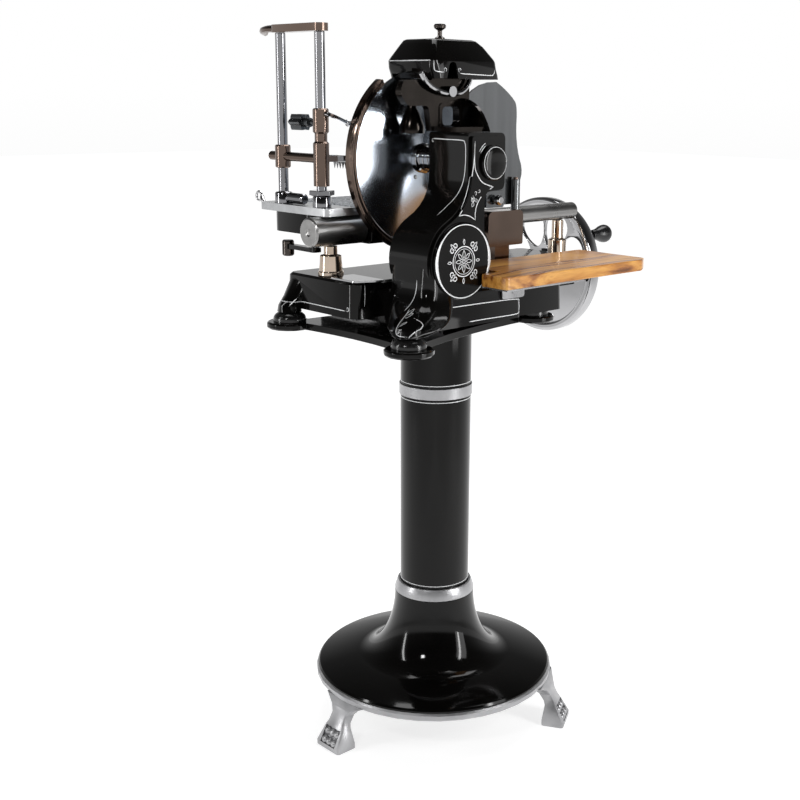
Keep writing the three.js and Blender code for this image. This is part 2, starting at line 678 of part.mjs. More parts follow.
// One ring of bevel teeth around an axis through the apex at zero: radius and distance go up and down per tooth.
function bevelTeeth(teeth, radius, distance, scale, tip, phase) {
  const slope = Math.atan2(radius, distance);
  const points = [];
  for (let i = 0; i < teeth * 4; i += 1) {
    const shift = i % 4 < 2 ? tip * bevelShares.crest : -tip;
    const angle = ((Math.floor(i / 4) + bevelShares.angles[i % 4] + phase) / teeth) * fullTurn;
    const r = radius * scale + shift * scale * Math.cos(slope);
    const along = distance * scale - shift * scale * Math.sin(slope);
    points.push(new THREE.Vector3(r * Math.cos(angle), r * Math.sin(angle), along));
  }
  return points;
}

// A bevel gear whose axis is +Z and whose apex is at zero.
function bevelGear(teeth, radius, distance, phase, hubRadius) {
  const { face } = bevelShares;
  const flat = (share, z) => bevelTeeth(teeth, radius, distance, 1, 0, phase)
    .map((point) => new THREE.Vector3(point.x * share, point.y * share, z));
  const share = hubRadius / radius;
  const nearRing = bevelTeeth(teeth, radius, distance, face, bevel.tip, phase);
  return loft([
    flat(share, distance * face + bevel.tip), nearRing,
    bevelTeeth(teeth, radius, distance, 1, bevel.tip, phase),
    flat(share, distance + bevel.hub),
  ]);
}

const apex = [wheel.x, drum.y, wheel.z];
place("bevel_gear", cutFrom(
  bevelGear(bevel.bigTeeth, bevel.big, bevel.small, 0.5, flywheelShaft.radius + bevel.bossWall)
    .rotate([-90, 0, 0]).translate(apex),
  rod("y", axle, flywheelShaft.radius + seat, flywheelShaft.frontY - overrun, 0),
), steel);
place("cross_shaft", joined(
  bevelGear(bevel.smallTeeth, bevel.small, bevel.big, 0, crossShaft.radius).rotate([0, 90, 0]).translate(apex),
  rod("x", [0, drum.y, wheel.z], crossShaft.radius, wheel.x + bevel.big, crossShaft.to),
), steel);

// A spur gear around an axis along X, with a bore. Each tooth is given by places around it and rises.
const toothShares = { root: 0.26, crest: 0.12, tall: 0.7 };

function spurGear(y, z, x0, x1, teeth, radius, depth, phase, bore) {
  const { root, crest, tall } = toothShares;
  const corners = [];
  for (let i = 0; i < teeth; i += 1) {
    const toothCorners = [[-root, -depth], [-crest, depth * tall], [crest, depth * tall], [root, -depth]];
    toothCorners.forEach(([turn, shift]) => {
      const angle = ((i + turn + phase) / teeth) * fullTurn;
      const r = radius + shift;
      corners.push(new THREE.Vector2(y + r * Math.cos(angle), z + r * Math.sin(angle)));
    });
  }
  const gear = prism("x", new THREE.Shape(corners), x0, x1);
  return cutFrom(gear, rod("x", [0, y, z], bore, x0 - overrun, x1 + overrun));
}

const spurModule = (drum.z - wheel.z) / (spurs.pinionTeeth + spurs.gearTeeth);
const quarter = 0.25;
place("spur_pinion", spurGear(drum.y, wheel.z, spurs.x0, spurs.x1, spurs.pinionTeeth,
  spurModule * spurs.pinionTeeth, spurs.depth / 2, spurs.pinionTeeth * quarter, crossShaft.radius + seat),
  steel);
place("drum_gear", spurGear(drum.y, drum.z, spurs.x0, spurs.x1, spurs.gearTeeth,
  spurModule * spurs.gearTeeth, spurs.depth / 2, 0.5 - spurs.gearTeeth * quarter, drumShaft.radius + seat),
  steel);
place("drum_shaft", rod("x", [0, drum.y, drum.z], drumShaft.radius, drumShaft.from, drumShaft.to), steel);

const sprocketSize = { slack: 0.5, root: 1.4, depth: 2 };

function sprocket(y, z, teeth, bore) {
  const half = chain.width / 2 - sprocketSize.slack;
  const middle = sprocketRadius(teeth) - chain.inner - seat * 3 - sprocketSize.root;
  return spurGear(y, z, chain.x - half, chain.x + half, teeth, middle, sprocketSize.depth, 0, bore);
}

// The blade's shaft is narrower inside the upper sprocket, and narrower again beyond it.
const shaftStep = { sprocket: 8.5, end: 8, half: 9, behind: 10 };

place("lower_sprocket", sprocket(drum.y, drum.z, chain.lowTeeth, drumShaft.radius + seat), steel);
place("upper_sprocket", sprocket(blade.y, blade.z, chain.highTeeth, shaftStep.sprocket), steel);

// The chain as one closed band over both sprockets.
function driveChain() {
  const spacing = chain.pitch / 2;
  const corner = ([y, z]) => new THREE.Vector2(y, z);
  const outline = new THREE.Shape(chainLoop(chain.plateHalf, spacing).map(corner));
  outline.holes.push(new THREE.Path(chainLoop(-chain.inner, spacing).map(corner)));
  return prism("x", outline, chain.x - chain.width / 2, chain.x + chain.width / 2);
}

place("drive_chain", driveChain(), steel);

// Blade and guard

const disc = {
  boreRadius: 8.5, faceX: -19, depth: 9, edge: 0.4, backX: -28, dish: 2.5, sharpWidth: 5, dishRadius: 118, flatRadius: 40,
};
const discShares = [[0.32, 0.07], [0.73, 0.4]];

// The blade's front is slightly domed and its back is dished, and both end in a thin rim.
function bladeDisc() {
  const d = disc;
  const rimX = d.faceX - d.depth;
  const front = discShares.map(([out, down]) => [blade.radius * out, d.faceX - d.depth * down]);
  return turned("x", [0, blade.y, blade.z], [
    [d.boreRadius, d.faceX], ...front, [blade.radius - d.sharpWidth, d.faceX - d.depth * 0.8],
    [blade.radius, rimX], [blade.radius, rimX - d.edge],
    [d.dishRadius, d.backX - d.dish], [d.flatRadius, d.backX],
    [d.boreRadius, d.backX], [d.boreRadius, d.faceX],
  ], 44);
}

place("blade", bladeDisc(), chrome);

const bladeHub = { radius: 26, stepRadius: 21, fromX: -18.7, flange: 10.7, shoulder: 2, toX: 56, rear: 24 };

function hubSleeve() {
  const h = bladeHub;
  const bore = bladeShaft.radius + seat;
  const [flangeX, rearX] = [h.fromX + h.flange, h.toX - h.rear];
  return turned("x", [0, blade.y, blade.z], [
    [bore, h.fromX], [h.radius, h.fromX], [h.radius, flangeX], [h.stepRadius, flangeX + h.shoulder],
    [h.stepRadius, rearX - h.shoulder], [h.radius, rearX], [h.radius, h.toX], [bore, h.toX], [bore, h.fromX],
  ], 24);
}

place("blade_hub", hubSleeve(), chrome);

const shaftHead = { radius: 18, length: 8, edge: 2 };

// The shaft has a step that the blade sits against, and a broad head that holds it on.
function steppedShaft() {
  const headEnd = disc.backX - seat;
  const stepX = disc.faceX + seat;
  const backX = disc.backX - shaftHead.length;
  const sprocketFrom = chain.x - shaftStep.behind;
  const sprocketTo = chain.x + shaftStep.half - seat * 3;
  return turned("x", [0, blade.y, blade.z], [
    [0, backX], [shaftHead.radius, backX + shaftHead.edge], [shaftHead.radius, headEnd],
    [disc.boreRadius - seat, headEnd], [disc.boreRadius - seat, stepX], [bladeShaft.radius, stepX],
    [bladeShaft.radius, sprocketFrom], [shaftStep.sprocket - seat, sprocketFrom],
    [shaftStep.sprocket - seat, sprocketTo], [shaftStep.end, sprocketTo], [shaftStep.end, bladeShaft.to],
    [0, bladeShaft.to],
  ], 16);
}

place("blade_shaft", steppedShaft(), steel);

const guard = {
  gap: 3.5, thickness: 12.5, back: -31, front: -11, edge: 2, bevel: 3,
  startAngle: 126, endAngle: 276, standHalf: 16, standInset: 1,
};

// A C shaped ring around the blade's edge that stands on the base.
function bladeGuard() {
  const g = guard;
  const inner = blade.radius + g.gap;
  const outer = inner + g.thickness;
  const ring = turned("x", [0, blade.y, blade.z], [
    [inner, g.back], [outer - g.edge, g.back], [outer, g.back + g.edge], [outer, g.front - g.edge],
    [outer - g.edge, g.front], [inner + g.bevel, g.front], [inner, g.front - g.bevel], [inner, g.back],
  ], 48);
  const sector = new THREE.Shape();
  const third = (g.startAngle + 360 - g.endAngle) / 3;
  sector.moveTo(blade.y, blade.z);
  [0, 1, 2, 3].forEach((step) => {
    const angle = degrees(g.endAngle + third * step);
    sector.lineTo(blade.y + outer * 2 * Math.cos(angle), blade.z + outer * 2 * Math.sin(angle));
  });
  sector.closePath();
  const gap = prism("x", sector, g.back - overrun, g.front + overrun);
  const standTop = blade.z - inner - g.thickness / 2;
  const stand = block(g.back + g.standInset, g.front - g.standInset, blade.y - g.standHalf,
    blade.y + g.standHalf / 4, base.top + seat, standTop);
  return joined(cutFrom(ring, gap), stand);
}

place("blade_guard_ring", bladeGuard(), chrome);

// Guide rail and its posts

const fatRail = { radius: 25.5, endY: -125, edge: 4, dimple: 6 };

function guideRail() {
  const f = fatRail;
  return turned("y", [rail.x, 0, rail.z], [
    [0, rail.frontY + f.dimple / 2], [f.dimple, rail.frontY], [f.radius - f.edge, rail.frontY],
    [f.radius, rail.frontY + f.edge], [f.radius, f.endY - f.edge], [f.radius - f.edge, f.endY],
    [rail.radius, f.endY], [rail.radius, rail.rearY - f.edge],
    [rail.radius - f.edge, rail.rearY], [0, rail.rearY],
  ], 24);
}

place("guide_rail", guideRail(), chrome);

const post = {
  frontY: -191, rearY: 405, wide: 21, narrow: 12, lip: 2, lipHeight: 6, height: 35, rearHeight: 36,
};

function frontPost() {
  const p = post;
  const foot = arm.top + seat;
  const lipTop = foot + p.lipHeight;
  const waist = arm.top + p.height;
  const top = rail.z - fatRail.radius - seat;
  return turned("z", [rail.x, p.frontY, 0], [
    [0, foot], [p.wide + p.lip, foot], [p.wide + p.lip, lipTop], [p.wide, lipTop + p.lip],
    [p.wide - p.lip, waist], [p.narrow, waist + p.lip], [p.narrow, top], [0, top],
  ], 14);
}

function rearPost() {
  const p = post;
  const foot = base.top + seat;
  const waist = base.top + p.rearHeight;
  const top = rail.z - rail.radius - seat;
  return turned("z", [rail.x, p.rearY, 0], [
    [0, foot], [p.wide - p.lip, foot], [p.wide - p.lip, waist - p.lip * 2], [p.narrow, waist],
    [p.narrow, top], [0, top],
  ], 14);
}

place("rail_post_front", frontPost(), chrome);
place("rail_post_rear", rearPost(), chrome);

const drip = { half: 34, frontY: -220, stepY: -186, rearX: 50, rearY: -167, corner: 8, thickness: 3 };
place("drip_plate", prism("z", rounded([
  [-drip.half, drip.frontY, drip.corner], [drip.half, drip.frontY, drip.corner],
  [drip.rearX, drip.stepY, drip.corner], [drip.rearX, drip.rearY, drip.corner / 2],
  [-drip.half, drip.rearY, drip.corner / 2],
]), arm.top + seat, arm.top + seat + drip.thickness), chrome);

// Carriage, table and holder

const carriageTop = table.bottom - seat;
const bearing = {
  left: 31, right: 29, y0: -122, y1: 20, drop: 26, corner: 10, reliefRadius: 9, reliefDrop: 5,
};

// The black block that slides on the rail, with an oil relief under its bore.
function carriageBearing() {
  const b = bearing;
  const [x0, x1, bottom] = [rail.x - b.left, rail.x + b.right, rail.z - b.drop];
  return cutFrom(
    prism("y", rounded([[x0, bottom, b.corner], [x1, bottom, b.corner], [x1, carriageTop], [x0, carriageTop]]),
      b.y0, b.y1),
    rod("y", [rail.x, 0, rail.z - b.reliefDrop], b.reliefRadius, b.y0 - overrun, b.y1 + overrun, 8),
    rod("y", [rail.x, 0, rail.z], rail.radius + seat, b.y0 - overrun, b.y1 + overrun, 24),
  );
}

place("carriage_bearing", carriageBearing(), blackEnamel);

const lever = { x: -112, y: -192, tipX: -188, pin: 5, boss: 10, thickness: 8, drop: 23, heel: 10, tip: 6 };
const tray = { x0: -214, y0: -206, y1: 30, height: 36, wall: 5, corner: 18 };
tray.x1 = rail.x - bearing.left - seat;
tray.bottom = carriageTop - tray.height;
lever.top = tray.bottom - lever.drop;
lever.bottom = lever.top - lever.thickness;

// The black carriage casting: a tray that is open underneath, with a boss for the thickness lever.
function carriageFrame() {
  const t = tray;
  const low = t.bottom - overrun;
  const roof = carriageTop - t.wall;
  const shell = roundedBox(t.x0, t.x1, t.y0, t.y1, t.bottom, carriageTop, t.corner);
  const hollow = roundedBox(t.x0 + t.wall, t.x1 - t.wall, t.y0 + t.wall, t.y1 - t.wall, low, roof,
    t.corner - t.wall, 2);
  const boss = rod("z", [lever.x, lever.y, 0], lever.boss, t.bottom, roof + t.wall / 2);
  const bore = rod("z", [lever.x, lever.y, 0], lever.pin + seat, low, roof);
  return cutFrom(joined(cutFrom(shell, hollow), boss), bore);
}

place("carriage_frame", carriageFrame(), blackEnamel);

const holder = { leftX: -189, rightX: -79, y: -198, radius: 9, length: 291, foot: 16, footHeight: 20, edge: 3 };
const ridge = { pitch: 15, height: 1.2, width: 5, from: -150, margin: 8, root: 4 };
const tableTop = table.top - ridge.height + seat;
holder.top = tableTop + holder.length;

function meatTable() {
  const t = table;
  const plate = roundedBox(t.farX, t.nearX, t.frontY, t.rearY, t.bottom, t.top - ridge.height, ridge.margin);
  const ridges = [];
  for (let x = t.farX + ridge.pitch; x < t.nearX - ridge.pitch / 2; x += ridge.pitch) {
    const [left, right] = [x - ridge.width / 2, x + ridge.width / 2];
    ridges.push(block(left, right, ridge.from, t.rearY - ridge.margin, t.top - ridge.root, t.top));
  }
  return joined(plate, ...ridges);
}

place("meat_table", meatTable(), aluminium);

function holderRod(x) {
  const footTop = tableTop + holder.footHeight;
  return turned("z", [x, holder.y, 0], [
    [0, tableTop], [holder.foot, tableTop], [holder.foot, footTop - holder.edge],
    [holder.foot - holder.edge, footTop], [holder.radius, footTop],
    [holder.radius, holder.top], [0, holder.top],
  ], 16);
}

const footKnob = { radius: 9.5, length: 62, rise: 10 };
const footNut = { proud: 6, from: 21, to: 29, sides: 16 };
place("holder_rod_left", joined(
  holderRod(holder.leftX),
  rod("x", [holder.leftX, holder.y, tableTop + footKnob.rise], footKnob.radius, 0, footKnob.length),
), chrome);
place("holder_rod_right", joined(
  holderRod(holder.rightX),
  rod("z", [holder.rightX, holder.y, tableTop], holder.foot + footNut.proud, footNut.from, footNut.to, footNut.sides),
  rod("z", [holder.rightX, holder.y, tableTop], holder.foot - holder.edge, footKnob.rise, footNut.to - holder.edge, 14),
), chrome);

// Sweeps a round section along a smooth curve through points.
function bentRod(points, radius, steps = 8, sides = 8) {
  const places = points.map((point) => new THREE.Vector3(...point));
  const path = new THREE.CatmullRomCurve3(places, false, "centripetal");
  const section = new THREE.Shape().absarc(0, 0, radius, 0, fullTurn);
  return solidOf(new THREE.ExtrudeGeometry(section, { steps, curveSegments: sides / 2, extrudePath: path }));
}

const bar = { overhang: 14, half: 13, height: 13, corner: 10, handle: 6 };
const barHandle = { rise: 7, out: [4, 39, 63, 81], back: [0, 0, 8, 26], sag: [0, 0, 2, 4] };

// The bar that ties the rods together on top, with its handle bent out and back.
function holderBar() {
  const low = holder.top + seat;
  const slab = roundedBox(holder.leftX - bar.overhang, holder.rightX + bar.overhang, holder.y - bar.half,
    holder.y + bar.half, low, low + bar.height, bar.corner);
  const handle = bentRod(barHandle.out.map((out, i) => [
    holder.leftX - out, holder.y + barHandle.back[i], low + barHandle.rise - barHandle.sag[i],
  ]), bar.handle);
  return joined(slab, handle);
}

place("holder_bar", holderBar(), chrome);

// The press, with sizes measured from its beam's axis
const press = {
  rise: 81, radius: 8, x0: -222, sleeve: 14, bore: 9.3, notch: 3, edge: 2, low: 46, waistFrom: 26, waistTo: 42,
  high: 84, leftHalf: 20, pin: 2.5, pinReach: 22, lugHalf: 11, lugWidth: 4, lugSize: 10,
};
press.z = table.top + press.rise;
press.pivotY = holder.y + press.pinReach;
press.pivotZ = press.z;
const clamp = { rise: 60, leverRise: 74, stem: 4, knobFrom: -152, knobTo: -108, head: 30, shank: 8, lobes: 6 };
clamp.z = press.z + clamp.rise;
clamp.leverZ = press.z + clamp.leverRise;
const lobe = { radius: 13.5, swell: 2 };

// The press crosses both rods on two sleeves, and its right sleeve carries the clamp and the gripper.
function pressBeam() {
  const p = press;
  const [low, high] = [p.z - p.low, p.z + p.high];
  const [waistFrom, waistTo] = [p.z + p.waistFrom, p.z + p.waistTo];
  const rightSleeve = turned("z", [holder.rightX, holder.y, 0], [
    [0, low], [p.sleeve, low], [p.sleeve, waistFrom], [p.sleeve - p.notch, waistFrom + p.notch],
    [p.sleeve - p.notch, waistTo], [p.sleeve, waistTo + p.notch], [p.sleeve, high - p.edge],
    [p.sleeve - p.edge, high], [0, high],
  ], 14);
  const leftSleeve = turned("z", [holder.leftX, holder.y, p.z], [
    [0, -p.leftHalf], [p.sleeve - p.edge, -p.leftHalf], [p.sleeve, p.edge - p.leftHalf],
    [p.sleeve, p.leftHalf - p.edge], [p.sleeve - p.edge, p.leftHalf], [0, p.leftHalf],
  ], 14);
  const beam = rod("x", [0, holder.y, p.z], p.radius, p.x0, holder.rightX, 12);
  const lugY = holder.y + p.radius - p.edge;
  const lugs = [-1, 1].map((side) => {
    const middle = holder.rightX + side * (p.lugHalf - p.edge);
    const reach = p.lugSize / 2;
    const half = p.lugWidth / 2;
    return block(middle - half, middle + half, lugY, p.pivotY + reach, p.z - reach, p.z + reach);
  });
  const pinHalf = p.lugHalf - p.edge;
  const pin = rod("x", [holder.rightX, p.pivotY, p.pivotZ], p.pin, -pinHalf, pinHalf, 12);
  const bores = [holder.leftX, holder.rightX].map((x) => (
    rod("z", [x, holder.y, 0], p.bore, low - overrun, high + overrun, 16)
  ));
  const past = p.sleeve + overrun;
  const screwHole = rod("x", [holder.rightX, holder.y, clamp.z], clamp.stem + seat, -past, 0, 12);
  const leverHole = rod("x", [holder.rightX, holder.y, clamp.leverZ], clamp.stem + seat, 0, past, 12);
  return joined(cutFrom(joined(rightSleeve, leftSleeve, beam), ...bores, screwHole, leverHole), ...lugs, pin);
}

place("press_beam", pressBeam(), chrome);

const gripBar = {
  half: 23, knuckle: 6, play: 5, stem: 5, stemHeight: 4, from: 16, to: 28, low: 6, high: 5, corner: 2,
  spikes: 6, spike: 15, spikeRadius: 3.2,
};

function gripper() {
  const { pivotY: y, pivotZ: z } = press;
  const x = holder.rightX;
  const g = gripBar;
  const knuckleHalf = press.lugHalf - g.play - seat;
  const knuckle = rod("x", [x, y, z], g.knuckle, -knuckleHalf, knuckleHalf);
  const stem = block(x - g.stem, x + g.stem, y + g.knuckle / 2, (y + y + g.from + g.to) / 2, z - g.stemHeight,
    z + g.stemHeight);
  const jaw = prism("y", rounded([
    [x - g.half, z - g.low, g.corner], [x + g.half, z - g.low, g.corner], [x + g.half, z + g.high, g.corner],
    [x - g.half, z + g.high, g.corner],
  ]), y + g.from, y + g.to, { curves: 2 });
  const spikes = Array.from({ length: g.spikes }, (_, i) => {
    const spikeX = x - g.half + ((i + 0.5) * 2 * g.half) / g.spikes;
    const root = z - g.low + g.corner / 2;
    const profile = [[0, -g.spike], [g.spikeRadius, 0], [0, g.corner / 2]];
    return turned("z", [spikeX, y + (g.from + g.to) / 2, root], profile, 8);
  });
  const bore = rod("x", [x, y, z], press.pin + seat, -press.lugHalf, press.lugHalf, 12);
  return cutFrom(joined(knuckle, stem, jaw, ...spikes), bore);
}

place("gripper", gripper(), chrome);

// A grey knob with six round lobes, on a stem that screws into the press.
function clampKnob() {
  const sides = clamp.lobes * 4;
  const lobed = new THREE.Shape(Array.from({ length: sides }, (_, i) => {
    const angle = (i / sides) * fullTurn;
    const radius = lobe.radius + lobe.swell * Math.cos(angle * clamp.lobes);
    return new THREE.Vector2(radius * Math.cos(angle), radius * Math.sin(angle));
  }));
  const head = prism("x", lobed, clamp.knobFrom, clamp.knobFrom + clamp.head);
  const stemEnd = holder.rightX - holder.radius - press.edge;
  const shank = rod("x", [0, 0, 0], clamp.shank, clamp.knobFrom + clamp.head / 2, clamp.knobTo, 12);
  const stem = rod("x", [0, 0, 0], clamp.stem, clamp.knobFrom + clamp.head, stemEnd, 12);
  return joined(head, shank, stem).translate([0, holder.y, clamp.z]);
}

place("clamp_knob", clampKnob(), aluminium);

const clampArm = { out: 6, wire: 3.5, ball: 6.5, back: [1, 14, 40], sag: [0, 4, 14] };

// A small lever with a ball on its end, which locks the press on its rod.
function clampLever() {
  const pivotX = holder.rightX + press.sleeve + press.edge;
  const armX = pivotX + clampArm.out;
  const { back, sag } = clampArm;
  const arm = bentRod(back.map((y, i) => [armX, holder.y + y, clamp.leverZ - sag[i]]), clampArm.wire, 6);
  const stemX = holder.rightX + holder.radius + press.edge;
  const stem = rod("x", [0, holder.y, clamp.leverZ], clamp.stem, stemX, armX, 12);
  const { ball } = clampArm;
  const end = [armX, holder.y + back[2] + press.edge, clamp.leverZ - sag[2]];
  return joined(stem, arm, egg(end, ball, ball, ball, 10));
}

place("clamp_lever", clampLever(), chrome);

// Small controls on the carriage

function thicknessLever() {
  const { x, y, tipX, heel, tip, pin } = lever;
  const collarTop = tray.bottom - pin;
  return joined(
    prism("z", rounded([
      [tipX, y - tip, tip - 1], [x + heel + 2, y - heel, heel * 0.7], [x + heel + 2, y + heel, heel * 0.7],
      [tipX, y + tip, tip - 1],
    ]), lever.bottom, lever.top),
    rod("z", [x, y, 0], pin, lever.top - pin / 2, carriageTop - tray.wall - seat),
    rod("z", [x, y, 0], pin * 2, lever.top - pin / 2, collarTop),
  );
}

place("thickness_lever", thicknessLever(), blackEnamel);

const tipKnob = { radius: 11, edge: 2.5, below: 14, above: 7 };

// An upright button, slotted onto the lever's end.
function thicknessKnob() {
  const k = tipKnob;
  const [low, high] = [lever.bottom - k.below, lever.top + k.above];
  const slotHalf = lever.tip + k.edge / 2;
  return cutFrom(
    turned("z", [lever.tipX, lever.y, 0], [
      [0, low], [k.radius - k.edge, low], [k.radius, low + k.edge], [k.radius, high - k.edge],
      [k.radius - k.edge, high], [0, high],
    ]),
    block(lever.tipX - k.edge, lever.tipX + k.radius * 2, lever.y - slotHalf, lever.y + slotHalf,
      lever.bottom - seat, lever.top + seat),
  );
}

place("thickness_knob", thicknessKnob(), chrome);

const lock = { y: -196, stem: 4, gap: 1, bend: 12, reach: 20, rise: 13.5, ring: 8, wire: 2.5 };
lock.z = table.top - table.thickness / 2;
place("table_lock", joined(
  bentRod([
    [table.farX - lock.gap, lock.y, lock.z], [table.farX - lock.bend, lock.y, lock.z + lock.gap],
    [table.farX - lock.reach, lock.y, lock.z + lock.rise],
  ], lock.stem, 5),
  solidOf(new THREE.TorusGeometry(lock.ring, lock.wire, 6, 14).rotateX(Math.PI / 2)
    .translate(table.farX - lock.reach - lock.ring, lock.y, lock.z + lock.rise)),
), chrome);

// Slice side: deflector and board

const holderBlock = { x0: 22, x1: 48, y0: 84, y1: 176, drop: 51, height: 64, corner: 12 };
const blockStem = { inset: 2, x1: 38, y0: 112, y1: 150 };
const deflector = {
  x: 25, thickness: 3, y0: 22, y1: 198, rise: 9, height: 222, hingeX: 36, hingeY: 166, pin: 4.5, knuckle: 8.5,
  knuckleHeight: 55, pinProud: 4,
};
holderBlock.z0 = base.top + holderBlock.drop;
holderBlock.z1 = holderBlock.z0 + holderBlock.height;
deflector.knuckleTop = holderBlock.z1 + deflector.knuckleHeight;

// An upright block on a short stem, with the pin that the deflector swings on.
function deflectorBlock() {
  const h = holderBlock;
  const s = blockStem;
  return joined(
    prism("x", rounded([
      [h.y0, h.z0, h.corner / 3], [h.y1, h.z0, h.corner / 3], [h.y1, h.z1, h.corner], [h.y0, h.z1, h.corner],
    ]), h.x0, h.x1),
    block(h.x0 + s.inset, s.x1, s.y0, s.y1, base.top + seat, h.z0 + s.inset),
    rod("z", [deflector.hingeX, deflector.hingeY, 0], deflector.pin, h.z1 - s.inset,
      deflector.knuckleTop + deflector.pinProud),
  );
}

place("deflector_block", deflectorBlock(), chrome);

// The deflector's wavy outline, as shares of its width and height: where each curve bends, and where it ends.
const waveShares = {
  first: [0.023, 0.793],
  bends: [
    [0.216, 1.0, 0.545, 0.991], [0.727, 0.919, 0.83, 0.838], [0.869, 0.802, 0.858, 0.658],
    [0.852, 0.505, 0.92, 0.369], [1.0, 0.252, 0.909, 0.162], [0.852, 0.099, 0.858, 0],
  ],
  heel: [0.273, 0],
  closing: [0.034, 0.117, 0, 0.387],
};
const shelf = { y0: 63, y1: 108, height: 30, depth: 62, wall: 4, corner: 4 };

// A thin plate with a wavy outer edge and a small shelf, held by a knuckle on the block's pin.
function sliceDeflector() {
  const d = deflector;
  const bottom = holderBlock.z1 + d.rise;
  const spot = (across, up) => [d.y0 + (d.y1 - d.y0) * across, bottom + d.height * up];
  const outline = new THREE.Shape();
  outline.moveTo(...spot(...waveShares.first));
  waveShares.bends.forEach(([cy, cz, y, z]) => outline.quadraticCurveTo(...spot(cy, cz), ...spot(y, z)));
  outline.lineTo(...spot(...waveShares.heel));
  const [cy, cz, y, z] = waveShares.closing;
  outline.quadraticCurveTo(...spot(cy, cz), ...spot(y, z));
  outline.closePath();
  const plate = prism("x", outline, d.x, d.x + d.thickness, { curves: 5 });
  const low = holderBlock.z1 + seat;
  const hinge = [d.hingeX, d.hingeY, 0];
  const knuckle = rod("z", hinge, d.knuckle, low, d.knuckleTop);
  const hole = rod("z", hinge, d.pin + seat, low - overrun, d.knuckleTop + overrun);
  const top = bottom + shelf.height;
  const tray = prism("x", rounded([
    [shelf.y0, bottom, shelf.corner], [shelf.y1, bottom, shelf.corner], [shelf.y1, top, shelf.corner],
    [shelf.y0, top, shelf.corner],
  ]), d.x + d.thickness / 3, shelf.depth);
  const trayHollow = block(d.x + d.thickness + shelf.wall / 2, shelf.depth - shelf.wall, shelf.y0 + shelf.wall,
    shelf.y1 - shelf.wall, bottom - shelf.wall, top - shelf.wall);
  return cutFrom(joined(plate, knuckle, cutFrom(tray, trayHollow)), hole);
}

place("slice_deflector", sliceDeflector(), steel);

const smallKnob = { stem: 4, stemLength: 4, radius: 9, edge: 3, length: 15, rise: 14 };

function deflectorKnob() {
  const k = smallKnob;
  const from = shelf.depth + seat;
  const tip = from + k.length;
  return turned("x", [0, (shelf.y0 + shelf.y1) / 2, holderBlock.z1 + deflector.rise + k.rise], [
    [0, from], [k.stem, from], [k.stem, from + k.stemLength], [k.radius, from + k.stemLength + k.edge / 2],
    [k.radius, tip - k.edge], [k.radius - k.edge, tip], [0, tip],
  ], 14);
}

place("deflector_knob", deflectorKnob(), chrome);

const boardCut = { x: 164, y: -6, chamfer: 16, corner: 6 };

// A plank with a notch around the drum and one cut corner.
function servingBoard() {
  const b = board;
  const { x, y, chamfer, corner } = boardCut;
  const outline = rounded([
    [x, b.frontY, corner], [b.nearX, b.frontY, corner], [b.nearX, b.rearY - chamfer * 1.6, corner],
    [b.nearX - chamfer, b.rearY, corner], [b.farX, b.rearY, corner], [b.farX, y, corner], [x, y, corner / 2],
  ]);
  return prism("z", outline, b.top - b.thickness, b.top);
}

place("serving_board", servingBoard(), wood);

const shelfPlate = {
  sheet: 3, rearY: 150, farX: 100, inset: 4, lap: 1, apronY0: 8, apronY1: 64, apronDrop: 30, corner: 6,
  screw: 5, screwProud: 4,
};

// A steel shelf under the board, bent down in front and screwed to the base.
function boardBracket() {
  const s = shelfPlate;
  const top = board.top - board.thickness - seat;
  const face = body.x1 - body.flare / 2;
  const outside = face + s.sheet + s.lap;
  const screwZ = top - s.apronDrop / 2 - s.lap * 2;
  return joined(
    block(boardCut.x, board.nearX - s.sheet, board.frontY + s.inset, s.rearY, top - s.sheet, top),
    block(s.farX, boardCut.x + s.lap, boardCut.y + s.inset * 2, s.rearY, top - s.sheet, top),
    prism("x", rounded([
      [s.apronY0, top - s.apronDrop, s.corner], [s.apronY1, top - s.apronDrop, s.corner],
    [s.apronY1, top - s.lap],
      [s.apronY0, top - s.lap],
    ]), face, outside),
    rod("x", [outside, (s.apronY0 + s.apronY1) / 2, screwZ], s.screw, -s.lap, s.screwProud - s.lap, 12),
  );
}

place("board_bracket", boardBracket(), steel);

// Sharpener, whose heights follow the blade's highest point

const sharp = {
  brimDrop: 14, plateX0: 40, plateX1: 54, plateRise: 29, y0: -64, y1: 24, corner: 8,
  armY: -136, armDrop: 59, armHeight: 42, flange: 8, flangeX: 112, footY0: -62, footY1: 8,
  stud: 3.5, studY: -20, studInset: 3,
};
const wall = { y0: 2, y1: 14, footX: 119, topX: 57, drop: 11, bulgeX: 99, edge: 2.5 };
const wallShares = { bulge: 0.91 };
const pane = { y0: -42, y1: -2, corner: 9, frame: 6, proud: 2 };
const paneShares = { sill: 0.14, lintel: 0.62 };
const grind = { x0: -19, x1: -9, y: -46, rise: 11, radius: 17, spindle: 4 };
const hone = { x0: -42, x1: -34, y: 8, rise: 3, radius: 11 };
const forkPivot = { y: -28, drop: 35, pin: 4 };
sharp.brim = blade.crest - sharp.brimDrop;
sharp.plateTop = blade.crest + sharp.plateRise;
grind.z = blade.crest + grind.rise;
hone.z = blade.crest + hone.rise;
forkPivot.z = blade.crest - forkPivot.drop;

